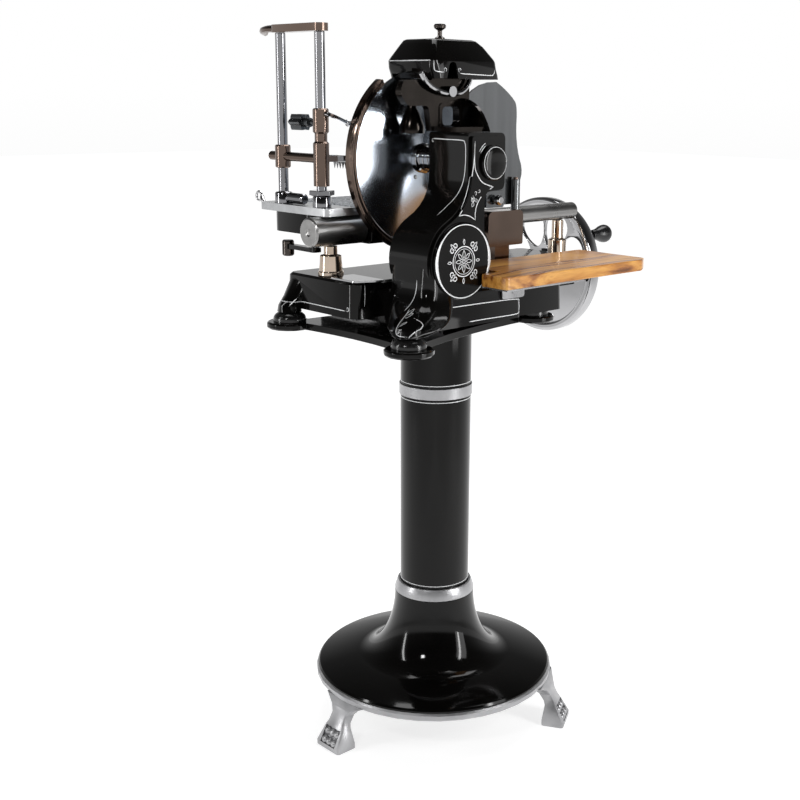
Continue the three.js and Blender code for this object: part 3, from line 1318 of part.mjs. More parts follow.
const hood = {
  wall: 5, centreX: 11, centreY: 3, halfX: 61, halfY: 81,
  rings: [
    { rise: 0, front: 7, rear: 0, lean: 0, corner: 12 },
    { rise: 7, front: 5, rear: 2, lean: 0, corner: 12 },
    { rise: 17, front: 1, rear: 6, lean: 0, corner: 12 },
    { rise: 29, front: 0, rear: 9, lean: 0, corner: 12 },
    { rise: 33, front: 2, rear: 11, lean: 2, corner: 11 },
    { rise: 54, front: 14, rear: 27, lean: 14, corner: 9 },
    { rise: 63, front: 20, rear: 40, lean: 19, corner: 8 },
    { rise: 65, front: 24, rear: 46, lean: 23, corner: 7 },
  ],
  notch: { y: -33, half: 14, top: 27, corner: 6 },
  slotX: -29, slotHalf: 9, slotTop: 8,
};
const hoodTop = sharp.brim + hood.rings.at(-1).rise;

// A bell shaped cup that hides the spring of the grinding wheel, on an arm from the bracket.
const cup = {
  x: 12, y: -72, drop: 105, radius: 22, skirt: 12, waist: 8, waistRise: 42, height: 66, arm: 6, armRise: 56,
};
const cupShares = { brow: 0.64, lift: 0.76 };

function springCup() {
  const c = cup;
  const low = blade.crest - c.drop;
  const bell = turned("z", [c.x, c.y, low], [
    [0, 0], [c.radius, 0], [c.radius, c.skirt], [c.radius * cupShares.brow, c.waistRise * cupShares.lift],
    [c.waist, c.waistRise], [c.waist, c.height], [0, c.height],
  ], 14);
  return joined(bell, rod("x", [0, c.y, low + c.armRise], c.arm, c.x, sharp.plateX0 + c.arm / 2, 12));
}

// The upright plate on the gear column that the wheels, the lever and the cover are fastened to.
function sharpenerBracket() {
  const s = sharp;
  const foot = neck.top + seat;
  const armTop = s.brim - s.studInset;
  const armLow = blade.crest - s.armDrop;
  const outline = rounded([
    [s.footY0 - s.studInset, foot], [s.footY1, foot], [s.y1, armLow, s.corner], [s.y1, s.plateTop, s.corner],
    [s.y0, s.plateTop, s.corner], [s.y0, armTop, s.corner / 2], [s.armY + s.corner, armTop, s.corner],
    [s.armY, armTop - s.armHeight / 2, s.corner], [s.armY + s.corner * 2, armLow, s.corner],
    [s.y0 - s.corner, armLow, s.corner],
  ]);
  const plate = prism("x", outline, s.plateX0, s.plateX1, { curves: 3 });
  const paneOutline = (margin) => {
    const [y0, y1] = [pane.y0 - margin, pane.y1 + margin];
    const sill = foot + (forkPivot.z - foot) * paneShares.sill - margin;
    const lintel = foot + (forkPivot.z - foot) * paneShares.lintel + margin;
    const { corner } = pane;
    return rounded([[y0, sill, corner], [y1, sill, corner], [y1, lintel, corner], [y0, lintel, corner]]);
  };
  const [before, past] = [s.plateX0 - overrun, s.plateX1 + pane.proud + overrun];
  const frame = prism("x", paneOutline(pane.frame), s.plateX1 - pane.proud, s.plateX1 + pane.proud);
  const window = prism("x", paneOutline(0), before, past);
  const flange = block(s.plateX1 - s.studInset, s.flangeX,
    s.footY0, wall.y1 - wall.edge, foot, foot + s.flange);
  const holes = [grind, hone].map(({ y, z }) => rod("x", [0, y, z], grind.spindle + seat, before, past, 14));
  const leverHole = rod("x", [0, forkPivot.y, forkPivot.z], forkPivot.pin + seat, before, past, 14);
  const studTop = hoodTop - hood.wall - seat;
  const stud = rod("z", [s.plateX0 + s.stud, s.studY, 0], s.stud, s.plateTop - s.studInset, studTop, 12);
  return joined(
    cutFrom(joined(plate, frame, flange, sideWall(foot)), window, ...holes, leverHole), springCup(), stud,
  );
}

// The bracket's side wall, whose front edge rises from the flange in one sweep.
function sideWall(foot) {
  const w = wall;
  const backX = sharp.plateX0 + w.edge;
  const top = forkPivot.z - w.drop;
  const profile = new THREE.Shape();
  profile.moveTo(backX, foot);
  profile.lineTo(w.footX, foot);
  profile.quadraticCurveTo(w.bulgeX, foot + (top - foot) * wallShares.bulge, w.topX, top);
  profile.lineTo(backX, top);
  profile.closePath();
  return prism("y", profile, w.y0, w.y1, { bevel: w.edge, curves: 6 });
}

place("sharpener_bracket", sharpenerBracket(), chrome);

const fork = {
  x: 62, radius: 4.5, boss: 9, bossLength: 13, drop: 4,
  left: { along: [0, 26, 54, 70], up: [0, 4, 16, 34] }, right: { along: [0, 26, 42, 48], up: [0, 4, 18, 34] },
};

// A chrome fork in front of the bracket, on a pin through it.
function sharpenerLever() {
  const f = fork;
  const { y, z, pin } = forkPivot;
  const arm = ({ along, up }, side) => bentRod(along.map((out, i) => (
    [f.x, y + side * out, z - f.drop + up[i]]
  )), f.radius);
  const bossFrom = sharp.plateX1 + seat * 2;
  return joined(
    rod("x", [0, y, z], pin, sharp.plateX0 - pin / 2, bossFrom + pin, 14),
    rod("x", [0, y, z], f.boss, bossFrom, bossFrom + f.bossLength),
    arm(f.left, -1), arm(f.right, 1),
  );
}

place("sharpener_lever", sharpenerLever(), chrome);

const wheelNose = { radius: 8, length: 3, collar: 7, collarLength: 4, taper: 3 };

function sharpenerWheel({ x0, x1, y, z, radius }, taper) {
  const n = wheelNose;
  const collarX = sharp.plateX1 + seat;
  return turned("x", [0, y, z], [
    [0, x0], [radius - taper, x0], [radius, x1], [n.radius, x1], [n.radius, x1 + n.length],
    [grind.spindle, x1 + n.length], [grind.spindle, collarX], [n.collar, collarX],
    [n.collar, collarX + n.collarLength], [0, collarX + n.collarLength],
  ], 16);
}

place("grinding_wheel", sharpenerWheel(grind, wheelNose.taper), abrasive);
place("honing_wheel", sharpenerWheel(hone, -wheelNose.taper), abrasive);

// A cast hood, open underneath: its front end flares to a visor, its rear end runs down in one long round.
function sharpenerCover() {
  const h = hood;
  const ring = ({ rise, front, rear, lean, corner }, skin) => {
    const [y0, y1] = [h.centreY - h.halfY + front + skin, h.centreY + h.halfY - rear - skin];
    const steps = skin > 0 ? 1 : 3;
    const halfX = h.halfX - lean - skin;
    return levelRing(h.centreX, (y0 + y1) / 2, sharp.brim + rise, halfX, (y1 - y0) / 2, corner, steps);
  };
  const shell = loft(h.rings.map((size) => ring(size, 0)));
  const hollowRings = h.rings.slice(0, -2).map(
    (size) => ring({ ...size, corner: size.corner - h.wall }, h.wall));
  const mouth = ring({ ...h.rings[0], rise: -overrun, corner: h.rings[0].corner - h.wall }, h.wall);
  const ceiling = { ...h.rings.at(-2), rise: h.rings.at(-1).rise - h.wall, corner: h.wall };
  const hollow = loft([mouth, ...hollowRings, ring(ceiling, h.wall)]);
  const n = h.notch;
  const notchTop = sharp.brim + n.top;
  const low = sharp.brim - overrun;
  const nearX = h.centreX + h.halfX;
  const notch = prism("x", rounded([
    [n.y - n.half, low], [n.y + n.half, low], [n.y + n.half / 2, notchTop, n.corner],
    [n.y - n.half / 2, notchTop, n.corner],
  ]), nearX - h.wall * 3, nearX + overrun);
  const bladeSlot = block(h.slotX - h.slotHalf, h.slotX + h.slotHalf, h.centreY - h.halfY - overrun, h.centreY,
    low, sharp.brim + h.slotTop);
  return cutFrom(shell, hollow, notch, bladeSlot);
}

place("sharpener_cover", sharpenerCover(), blackEnamel);

const hoodKnob = {
  foot: 9, footHeight: 3, waist: 4, waistTo: 15, radius: 11, lip: 2, height: 27, flare: 4, round: 1,
};
const k = hoodKnob;
place("cover_knob", turned("z", [hood.centreX, hood.centreY - hood.wall * 2, hoodTop + seat], [
  [0, 0], [k.foot, 0], [k.foot, k.footHeight], [k.waist, k.footHeight * 2], [k.waist, k.waistTo],
  [k.radius - k.round, k.waistTo + k.flare], [k.radius, k.height - k.flare],
  [k.radius - k.lip, k.height - k.round], [0, k.height],
], 14), chrome);

slicer.updateMatrixWorld(true);
const reach = new THREE.Box3().setFromObject(slicer);
slicer.position.set(-(reach.min.x + reach.max.x) / 2, -(reach.min.y + reach.max.y) / 2, -reach.min.z);

export default slicer;
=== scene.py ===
# %% [markdown]
# # Dressing a hand cranked slicer
# The slicer stands on a black trumpet shaped pedestal. Its castings are enamelled and pinstriped, and
# everything that slides, turns or meets food is polished metal. The measured solids come first, as a
# fixed frame. Round parts are then turned again with many more sides, flat parts get softened edges,
# and each surface gets the finish of the real one.

# %% Load the fixed frame
import json
import math

import bmesh
import bpy
from mathutils import Matrix, Vector
from mathutils.bvhtree import BVHTree


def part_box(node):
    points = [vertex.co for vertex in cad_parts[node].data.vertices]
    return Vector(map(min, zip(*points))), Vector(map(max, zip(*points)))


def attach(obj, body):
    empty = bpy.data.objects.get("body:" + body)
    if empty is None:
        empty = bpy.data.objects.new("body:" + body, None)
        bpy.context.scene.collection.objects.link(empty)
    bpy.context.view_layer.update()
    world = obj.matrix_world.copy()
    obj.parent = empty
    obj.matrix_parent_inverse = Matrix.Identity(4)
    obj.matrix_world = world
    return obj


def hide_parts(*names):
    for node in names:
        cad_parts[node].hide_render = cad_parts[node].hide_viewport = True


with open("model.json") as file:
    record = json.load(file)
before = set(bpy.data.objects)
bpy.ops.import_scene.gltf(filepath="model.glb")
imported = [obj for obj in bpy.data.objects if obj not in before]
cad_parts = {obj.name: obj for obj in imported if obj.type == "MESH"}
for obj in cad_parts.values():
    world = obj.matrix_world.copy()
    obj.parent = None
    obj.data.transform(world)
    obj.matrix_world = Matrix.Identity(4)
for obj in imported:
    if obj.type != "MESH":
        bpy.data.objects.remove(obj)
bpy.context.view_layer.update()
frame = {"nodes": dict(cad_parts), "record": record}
nodes = frame["nodes"]

# %% [markdown]
# ## Places
# Every place is worked out from the solids. The column's axis and the floor are the origin that a maker
# would measure from, so `at` takes millimetres from there, and `span` gives a solid's reach the same way.

# %% Measuring from the column's axis
MM = 0.001
TURN = 2 * math.pi
column_low, column_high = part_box("column")
column_axis = (column_low + column_high) / 2


def at(x, y, z):
    """A place in millimetres from the column's axis and the floor."""
    return Vector((column_axis.x + x * MM, column_axis.y + y * MM, z * MM))


def span(node):
    """A solid's low and high corner, in millimetres from the column's axis and the floor."""
    base = Vector((column_axis.x, column_axis.y, 0))
    return tuple((corner - base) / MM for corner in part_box(node))


def middle(node):
    low, high = span(node)
    return (low + high) / 2


def radius_of(node, along):
    """Half a round solid's width, measured square to its axis."""
    low, high = span(node)
    return (high - low)["yzx".index(along)] / 2


print("column radius", round(radius_of("column", "z"), 1), "mm")

# %% [markdown]
# ## Camera
# The photographer stood at the slice side in front of the flywheel, with the lens a little above the
# table. A camera's angle of view and its tilt are settled before anything else. The small shift keeps
# the object a little left of the picture's middle.

# %% Camera
camera_stand = {"x": 1580.9, "y": -1487.0, "height": 1170}
camera_turn = {"heading": 45.75, "tilt": 75.75, "roll": 0.68}
lens = {"focal": 54, "sensor": 36, "shift": -0.07}

camera = bpy.data.objects.new("camera", bpy.data.cameras.new("camera"))
bpy.context.scene.collection.objects.link(camera)
camera.data.sensor_width = lens["sensor"]
camera.data.lens = lens["focal"]
camera.data.shift_x = lens["shift"]
camera.location = at(camera_stand["x"], camera_stand["y"], camera_stand["height"])
turns = [("heading", "Z"), ("tilt", "X"), ("roll", "Z")]
aim = Matrix.Identity(3)
for part, axis in turns:
    aim = aim @ Matrix.Rotation(math.radians(camera_turn[part]), 3, axis)
camera.rotation_euler = aim.to_euler()
bpy.context.scene.camera = camera
print("camera at", [round(value, 3) for value in camera.location])

# %% [markdown]
# ## Finishes
# A finish is a small shader tree. All of them share a few helpers: one starts the shader with its plain
# values, one lays noise in the object's own space so that it rides along, and one turns a value into a
# bump. Plain values stay on the shader's sockets.

# %% Finish helpers
def new_finish(name, **sockets):
    """A principled material. Socket names are written with underscores."""
    material = bpy.data.materials.new(name)
    material.use_nodes = True
    shader = material.node_tree.nodes["Principled BSDF"]
    for socket, value in sockets.items():
        shader.inputs[socket.replace("_", " ")].default_value = value
    return material, shader


def add_node(material, kind, **values):
    node = material.node_tree.nodes.new("ShaderNode" + kind)
    for socket, value in values.items():
        node.inputs[socket.replace("_", " ")].default_value = value
    return node


def link(material, source, target):
    material.node_tree.links.new(source, target)


def space(material, stretch=(1, 1, 1), centre=(0, 0, 0)):
    """The object's own space, moved to a centre and stretched."""
    coordinates = add_node(material, "TexCoord")
    mapping = add_node(material, "Mapping")
    mapping.inputs["Location"].default_value = [-c * s for c, s in zip(centre, stretch)]
    mapping.inputs["Scale"].default_value = stretch
    link(material, coordinates.outputs["Object"], mapping.inputs["Vector"])
    return mapping.outputs["Vector"]


def noise(material, vector, scale, detail=3.0, roughness=0.5):
    texture = add_node(material, "TexNoise", Scale=scale, Detail=detail, Roughness=roughness)
    link(material, vector, texture.inputs["Vector"])
    return texture.outputs["Fac"]


def ranged(material, value, low, high, start=0.3, end=0.7):
    """Maps the middle of a noise onto a range."""
    node = add_node(material, "MapRange", From_Min=start, From_Max=end, To_Min=low, To_Max=high)
    link(material, value, node.inputs["Value"])
    return node.outputs["Result"]


def coloured(material, value, stops):
    """Turns a value into colours, from (place, colour) stops."""
    node = add_node(material, "ValToRGB")
    elements = node.color_ramp.elements
    while len(elements) < len(stops):
        elements.new(0.5)
    for element, (place, colour) in zip(elements, stops):
        element.position = place
        element.color = (*colour, 1)
    link(material, value, node.inputs["Fac"])
    return node.outputs["Color"]


def bumped(material, shader, height, depth, strength=1.0):
    """Depth is in metres."""
    node = add_node(material, "Bump", Strength=strength, Distance=depth)
    link(material, height, node.inputs["Height"])
    link(material, node.outputs["Normal"], shader.inputs["Normal"])


print("finish helpers ready")

# %% [markdown]
# ## Studio
# Black enamel and chrome show the room more than themselves. The floor glows, so that it stays pale to
# the horizon, and it is a little less bright beyond the machine's front, because every upright surface
# mirrors that part of it. The room is bright behind the machine and dim above and behind the
# photographer, which keeps the enamel deep and gives the chrome its dark bands. Soft lamps draw the
# long highlights.

# %% Floor and room
FLOOR_SIDE = 40.0
TOWARDS_PHOTOGRAPHER = Vector((camera_stand["x"], camera_stand["y"], 0)).normalized()
glow_in_front = [(-1.0, 1.0), (0.0, 0.85), (0.1, 0.7), (0.3, 0.62), (1.0, 0.8)]
glow_reach = 4000
glow_to_sides = [(-1.0, 1.0), (0.3, 0.8), (0.72, 0.8), (0.9, 1.0), (1.0, 1.0)]
room_band = [(-1.0, 0.6), (0.0, 1.0), (0.09, 1.0), (0.15, 0.0), (1.0, 0.0)]
room_by_height = [(-1.0, 0.0), (0.0, 0.9), (0.2, 0.6), (0.45, 0.15), (0.7, 0.08), (1.0, 0.12)]
room_by_side = [(-1.0, 1.0), (-0.6, 0.8), (-0.1, 0.4), (0.4, 0.15), (1.0, 0.08)]


def grey_ramp(tree, value, stops):
    """Grey levels from (place, level) stops, read at a value from -1 to 1."""
    shift = tree.nodes.new("ShaderNodeMapRange")
    shift.inputs["From Min"].default_value = -1
    ramp = tree.nodes.new("ShaderNodeValToRGB")
    tree.links.new(value, shift.inputs["Value"])
    tree.links.new(shift.outputs["Result"], ramp.inputs["Fac"])
    while len(ramp.color_ramp.elements) < len(stops):
        ramp.color_ramp.elements.new(0.5)
    for element, (place, level) in zip(ramp.color_ramp.elements, stops):
        element.position = (place + 1) / 2
        element.color = (level, level, level, 1)
    return ramp.outputs["Color"]


def dot_with(tree, vector, direction):
    node = tree.nodes.new("ShaderNodeVectorMath")
    node.operation = "DOT_PRODUCT"
    node.inputs[1].default_value = direction
    tree.links.new(vector, node.inputs[0])
    return node.outputs["Value"]


def pale_floor():
    """A wide floor whose own glow is weaker in front of the machine and to both sides of the view."""
    mesh = bpy.data.meshes.new("floor")
    half = FLOOR_SIDE / 2
    corners = [(-half, -half, 0), (half, -half, 0), (half, half, 0), (-half, half, 0)]
    mesh.from_pydata(corners, [], [(0, 1, 2, 3)])
    floor = bpy.data.objects.new("floor", mesh)
    bpy.context.scene.collection.objects.link(floor)
    material, shader = new_finish("pale_floor", Base_Color=(0.5, 0.5, 0.5, 1), Roughness=0.9,
                                  Specular_IOR_Level=0.1, Emission_Strength=1.0)
    tree = material.node_tree
    reach = dot_with(tree, space(material), TOWARDS_PHOTOGRAPHER / (glow_reach * MM))
    in_front = grey_ramp(tree, reach, glow_in_front)
    heading = add_node(material, "VectorMath")
    heading.operation = "NORMALIZE"
    link(material, space(material, centre=at(camera_stand["x"], camera_stand["y"], 0)), heading.inputs[0])
    side = dot_with(tree, heading.outputs["Vector"], -TOWARDS_PHOTOGRAPHER)
    to_sides = grey_ramp(tree, side, glow_to_sides)
    glow = add_node(material, "VectorMath")
    glow.operation = "MULTIPLY"
    link(material, in_front, glow.inputs[0])
    link(material, to_sides, glow.inputs[1])
    link(material, glow.outputs["Vector"], shader.inputs["Emission Color"])
    floor.data.materials.append(material)
    return floor


def pale_room():
    """A bright band at eye level, and above it grey levels by height, times grey levels by side."""
    world = bpy.data.worlds.new("room")
    bpy.context.scene.world = world
    world.use_nodes = True
    tree = world.node_tree
    direction = tree.nodes.new("ShaderNodeTexCoord").outputs["Generated"]
    height = dot_with(tree, direction, (0, 0, 1))
    side = dot_with(tree, direction, TOWARDS_PHOTOGRAPHER)
    band = grey_ramp(tree, height, room_band)
    above = grey_ramp(tree, height, room_by_height)
    by_side = grey_ramp(tree, side, room_by_side)
    product = tree.nodes.new("ShaderNodeVectorMath")
    product.operation = "MULTIPLY"
    brighter = tree.nodes.new("ShaderNodeVectorMath")
    brighter.operation = "MAXIMUM"
    tree.links.new(above, product.inputs[0])
    tree.links.new(by_side, product.inputs[1])
    tree.links.new(product.outputs["Vector"], brighter.inputs[0])
    tree.links.new(band, brighter.inputs[1])
    tree.links.new(brighter.outputs["Vector"], tree.nodes["Background"].inputs["Color"])
    return world


pale_floor()
pale_room()
bpy.context.scene.view_settings.view_transform = "Standard"
print("floor", FLOOR_SIDE, "m, and the room")

# %% [markdown]
# ### Lamps
# Polished metal shows a lamp's shape, so the lamps are large soft rectangles and tall strips, as in a
# product studio. Each one is turned to face the machine's middle.

# %% Soft lamps
lamps = {
    "left_strip": {"place": (-900, -2000, 1300), "size": (0.14, 1.8), "power": 16},
    "right_strip": {"place": (2200, 700, 1300), "size": (0.16, 1.8), "power": 20},
    "blade_soft": {"place": (1700, 650, 1000), "size": (0.7, 1.3), "power": 9},
    "front_spot": {"place": (900, -2300, 2300), "size": (0.3, 0.3), "power": 14},
    "top_soft": {"place": (-300, 500, 2600), "size": (1.6, 1.6), "power": 34},
}
aim_height = 800


def soft_lamp(name, place, size, power):
    """A rectangular lamp. Its place is in millimetres, its size in metres and its power in watts."""
    light = bpy.data.lights.new(name, "AREA")
    light.shape = "RECTANGLE"
    light.size, light.size_y = size
    light.energy = power
    lamp = bpy.data.objects.new(name, light)
    bpy.context.scene.collection.objects.link(lamp)
    lamp.location = at(*place)
    toward = at(0, 0, aim_height) - lamp.location
    lamp.rotation_euler = toward.to_track_quat("-Z", "Y").to_euler()
    return lamp


for lamp_name, lamp in lamps.items():
    soft_lamp(lamp_name, **lamp)
print("lamps", len(lamps))

# %% [markdown]
# ### Black enamel
# Stove enamel over cast iron: nearly black, very glossy, with the faint orange peel of a sprayed and
# baked coat and a few duller patches where hands and cloths have been.

# %% Black enamel
def black_enamel():
    material, shader = new_finish("black_enamel", Metallic=0.0, Specular_IOR_Level=0.25)
    wide = noise(material, space(material), scale=9.0, detail=4.0)
    peel = noise(material, space(material), scale=420.0, detail=2.0)
    tint = coloured(material, wide, [(0.3, (0.0016, 0.0015, 0.0014)), (0.7, (0.0036, 0.0033, 0.003))])
    link(material, tint, shader.inputs["Base Color"])
    link(material, ranged(material, wide, low=0.045, high=0.12), shader.inputs["Roughness"])
    bumped(material, shader, peel, depth=0.00004, strength=0.35)
    return material


enamel = black_enamel()
print("finish", enamel.name)

# %% [markdown]
# ### Polished and brushed metal
# Chrome plate is almost a mirror, with a cloudy variation in its gloss that shows only in reflections.
# Ground steel has fine lines: along a bar they are a noise that is stretched, and around a disc they
# are a noise of the distance from the disc's axis.

# %% Chrome, steel and aluminium
def chrome_plate(name, colour, dull=0.06):
    """A mirror of plated metal, with a tint and a cloudy gloss. The tint is the plate's own, except in the
    brown and warm copies, where it is painted reflection, and in the rod and bracket copies, where it is
    painted shade.
    """
    material, shader = new_finish(name, Metallic=1.0)
    cloud = noise(material, space(material), scale=22.0, detail=4.0)
    fine = noise(material, space(material), scale=900.0, detail=2.0)
    dark = tuple(value * 0.88 for value in colour)
    link(material, coloured(material, cloud, [(0.3, dark), (0.7, colour)]), shader.inputs["Base Color"])
    link(material, ranged(material, cloud, low=dull * 0.6, high=dull * 1.6), shader.inputs["Roughness"])
    bumped(material, shader, fine, depth=0.00001, strength=0.25)
    return material


def brushed_metal(name, colour, stretch, dull=0.28, depth=0.00003):
    """Metal with fine lines along the axis whose stretch is small."""
    material, shader = new_finish(name, Metallic=1.0)
    lines = noise(material, space(material, stretch), scale=60.0, detail=3.0)
    cloud = noise(material, space(material), scale=14.0, detail=4.0)
    dark = tuple(value * 0.82 for value in colour)
    link(material, coloured(material, lines, [(0.3, dark), (0.7, colour)]), shader.inputs["Base Color"])
    link(material, ranged(material, cloud, low=dull * 0.75, high=dull * 1.25), shader.inputs["Roughness"])
    bumped(material, shader, lines, depth, strength=0.4)
    return material


BLADE_DISH = -0.1  # the bump's slope: the face seems to fall by this share of the way out from its axis


def spun_metal(name, colour, centre, dull=0.17, rings=2600.0):
    """Metal that was ground while it turned about an axis along X."""
    material, shader = new_finish(name, Metallic=1.0)
    flat = space(material, (0, 1, 1), centre)
    reach = add_node(material, "VectorMath")
    reach.operation = "LENGTH"
    link(material, flat, reach.inputs[0])
    along = add_node(material, "CombineXYZ")
    link(material, reach.outputs["Value"], along.inputs["X"])
    lines = noise(material, along.outputs["Vector"], scale=rings, detail=2.0)
    cloud = noise(material, space(material), scale=12.0, detail=3.0)
    dark = tuple(value * 0.9 for value in colour)
    link(material, coloured(material, lines, [(0.35, dark), (0.65, colour)]), shader.inputs["Base Color"])
    link(material, ranged(material, cloud, low=dull * 0.7, high=dull * 1.3), shader.inputs["Roughness"])
    dish = add_node(material, "Bump", Strength=1.0, Distance=BLADE_DISH)
    link(material, reach.outputs["Value"], dish.inputs["Height"])
    grooves = add_node(material, "Bump", Strength=0.1, Distance=0.000012)
    link(material, lines, grooves.inputs["Height"])
    link(material, dish.outputs["Normal"], grooves.inputs["Normal"])
    link(material, grooves.outputs["Normal"], shader.inputs["Normal"])
    return material


chrome = chrome_plate("chrome", (0.5, 0.5, 0.51))
# The rods' chrome is darkened far below plating's own colour: painted shade for the dark room they mirror.
rod_chrome_painted_shade = chrome_plate("rod_chrome_painted_shade", (0.24, 0.24, 0.25), 0.07)
# Chrome whose brown tint is painted reflection of a brown room, not the plating's own colour.
chrome_painted_brown_reflection = chrome_plate("chrome_painted_brown_reflection", (0.15, 0.11, 0.09), 0.12)
dark_chrome = chrome_plate("dark_chrome", (0.075, 0.066, 0.06), 0.12)
# The sharpener bracket is plated; its near-black colour is painted shade for the dark room it mirrors.
chrome_painted_shade_plate = chrome_plate("chrome_painted_shade_plate", (0.032, 0.028, 0.025), 0.14)
# The rail posts' warm tint is painted reflection of a warm room, not the plating's own colour.
chrome_painted_warm_reflection = chrome_plate("chrome_painted_warm_reflection", (0.56, 0.46, 0.37), 0.1)
steel = brushed_metal("steel", (0.46, 0.46, 0.47), (1, 1, 0.05))
rail_steel = brushed_metal("rail_steel", (0.36, 0.355, 0.35), (1, 0.04, 1), 0.3)
grey_steel = brushed_metal("grey_steel", (0.17, 0.175, 0.18), (1, 1, 0.05), 0.2, 0.00001)
dark_knob = brushed_metal("dark_knob", (0.1, 0.105, 0.11), (1, 1, 1), 0.3)
aluminium = brushed_metal("aluminium", (0.56, 0.57, 0.58), (1, 0.04, 1), 0.3)
bronze = brushed_metal("bronze", (0.5, 0.32, 0.13), (0.1, 1, 1), 0.35)
# Steel grey with a blue cast: the cast is painted reflection of the blue band that the polished face
# mirrors.
blade_steel_painted_blue_reflection = spun_metal("blade_steel_painted_blue_reflection", (0.6, 0.66, 0.74), at(*middle("blade")))
print("metals", chrome.name, steel.name, aluminium.name, blade_steel_painted_blue_reflection.name)

# %% [markdown]
# ### Silver paint
# The claw feet, the collar and the band are painted with aluminium paint: grey, soft in its shine, with
# a fine grain from the casting below it.

# %% Silver paint
def silver_paint():
    material, shader = new_finish("silver_paint", Metallic=0.75, Coat_Weight=0.15, Coat_Roughness=0.2)
    grain = noise(material, space(material), scale=260.0, detail=4.0)
    wide = noise(material, space(material), scale=18.0, detail=4.0)
    link(material, coloured(material, wide, [(0.3, (0.34, 0.34, 0.35)), (0.7, (0.47, 0.47, 0.48))]),
         shader.inputs["Base Color"])
    link(material, ranged(material, grain, low=0.28, high=0.42), shader.inputs["Roughness"])
    bumped(material, shader, grain, depth=0.00012, strength=0.5)
    return material


silver = silver_paint()
print("finish", silver.name)

# %% [markdown]
# ### Pinstripe enamel
# The lining is hand painted in silver white enamel, slightly raised, and not as glossy as the black.

# %% Pinstripe enamel
def lining_enamel():
    material, shader = new_finish("lining_enamel", Metallic=0.2)
    grain = noise(material, space(material), scale=300.0, detail=3.0)
    link(material, coloured(material, grain, [(0.3, (0.62, 0.63, 0.64)), (0.7, (0.78, 0.79, 0.8))]),
         shader.inputs["Base Color"])
    link(material, ranged(material, grain, low=0.3, high=0.45), shader.inputs["Roughness"])
    return material


lining = lining_enamel()
print("finish", lining.name)

# %% [markdown]
# ### Oiled wood
# The serving board is a striped hardwood, sawn along its length and oiled to an orange brown. The
# stripes are broad bands that wander a little, with fine pores between them, so the noise is stretched
# along the board and bent by a second, wider noise.

# %% Oiled wood
def oiled_wood():
    material, shader = new_finish("oiled_wood", Metallic=0.0, Coat_Weight=0.25, Coat_Roughness=0.12)
    bend = noise(material, space(material, (1.0, 0.35, 1.0)), scale=5.0, detail=2.0)
    push = add_node(material, "VectorMath")
    push.operation = "SCALE"
    push.inputs["Scale"].default_value = 0.35
    wander = add_node(material, "CombineXYZ")
    link(material, bend, wander.inputs["X"])
    link(material, wander.outputs["Vector"], push.inputs[0])
    together = add_node(material, "VectorMath")
    link(material, space(material, (1.0, 0.07, 1.0)), together.inputs[0])
    link(material, push.outputs["Vector"], together.inputs[1])
    bands = noise(material, together.outputs["Vector"], scale=42.0, detail=5.0, roughness=0.55)
    pores = noise(material, space(material, (1.0, 0.02, 1.0)), scale=900.0, detail=2.0)
    browns = [
        (0.3, (0.06, 0.015, 0.004)), (0.42, (0.27, 0.09, 0.014)), (0.5, (0.5, 0.21, 0.035)),
        (0.6, (0.66, 0.33, 0.07)), (0.75, (0.34, 0.12, 0.02)),
    ]
    link(material, coloured(material, bands, browns), shader.inputs["Base Color"])
    link(material, ranged(material, bands, low=0.24, high=0.38), shader.inputs["Roughness"])
    bumped(material, shader, pores, depth=0.00006, strength=0.35)
    return material


wood = oiled_wood()
print("finish", wood.name)

# %% [markdown]
# ### Grip, pads and grit
# The crank's grip is turned black hard plastic, the feet sit in black domed pads, and the two sharpening
# wheels are bonded grit.

# %% Grip, pads and grit
def grained(name, dark, light, dull, scale, depth):
    material, shader = new_finish(name, Metallic=0.0)
    grain = noise(material, space(material), scale=scale, detail=3.0)
    link(material, coloured(material, grain, [(0.35, dark), (0.65, light)]), shader.inputs["Base Color"])
    link(material, ranged(material, grain, *dull), shader.inputs["Roughness"])
    bumped(material, shader, grain, depth, strength=0.4)
    return material


black = (0.006, 0.006, 0.006)
grip_black = grained("grip_black", black, (0.012, 0.012, 0.013), (0.16, 0.26), 240.0, 0.00004)
pad_black = grained("pad_black", black, (0.012, 0.012, 0.012), (0.12, 0.24), 240.0, 0.00004)
grit = grained("grit", (0.1, 0.085, 0.07), (0.3, 0.25, 0.2), (0.75, 0.95), 1500.0, 0.0002)
print("finishes", grip_black.name, pad_black.name, grit.name)

# %% [markdown]
# ## Ways of making a shape
# Most of the machine comes off a lathe, so `lathe` revolves a profile about an axis. Flat parts are an
# outline that is given a thickness, which a filled curve does well because it takes holes and rounds
# its edges. Both end as meshes with smooth shading.

# %% Keeping pieces
AXES = {
    "x": (Vector((1, 0, 0)), Vector((0, 1, 0)), Vector((0, 0, 1))),
    "y": (Vector((0, 1, 0)), Vector((0, 0, 1)), Vector((1, 0, 0))),
    "z": (Vector((0, 0, 1)), Vector((1, 0, 0)), Vector((0, 1, 0))),
}
SHARP = math.radians(32)
record = frame["record"]
body_of_node = {node: body for body, members in record["behaviour"]["bodies"].items() for node in members}


def softened(obj, width, segments=3):
    """Rounds the edges that are sharper than about thirty degrees."""
    bevel = obj.modifiers.new("soft_edges", "BEVEL")
    bevel.width = width * MM
    bevel.segments = segments
    bevel.limit_method = "ANGLE"
    bevel.angle_limit = SHARP
    bevel.harden_normals = True
    return obj


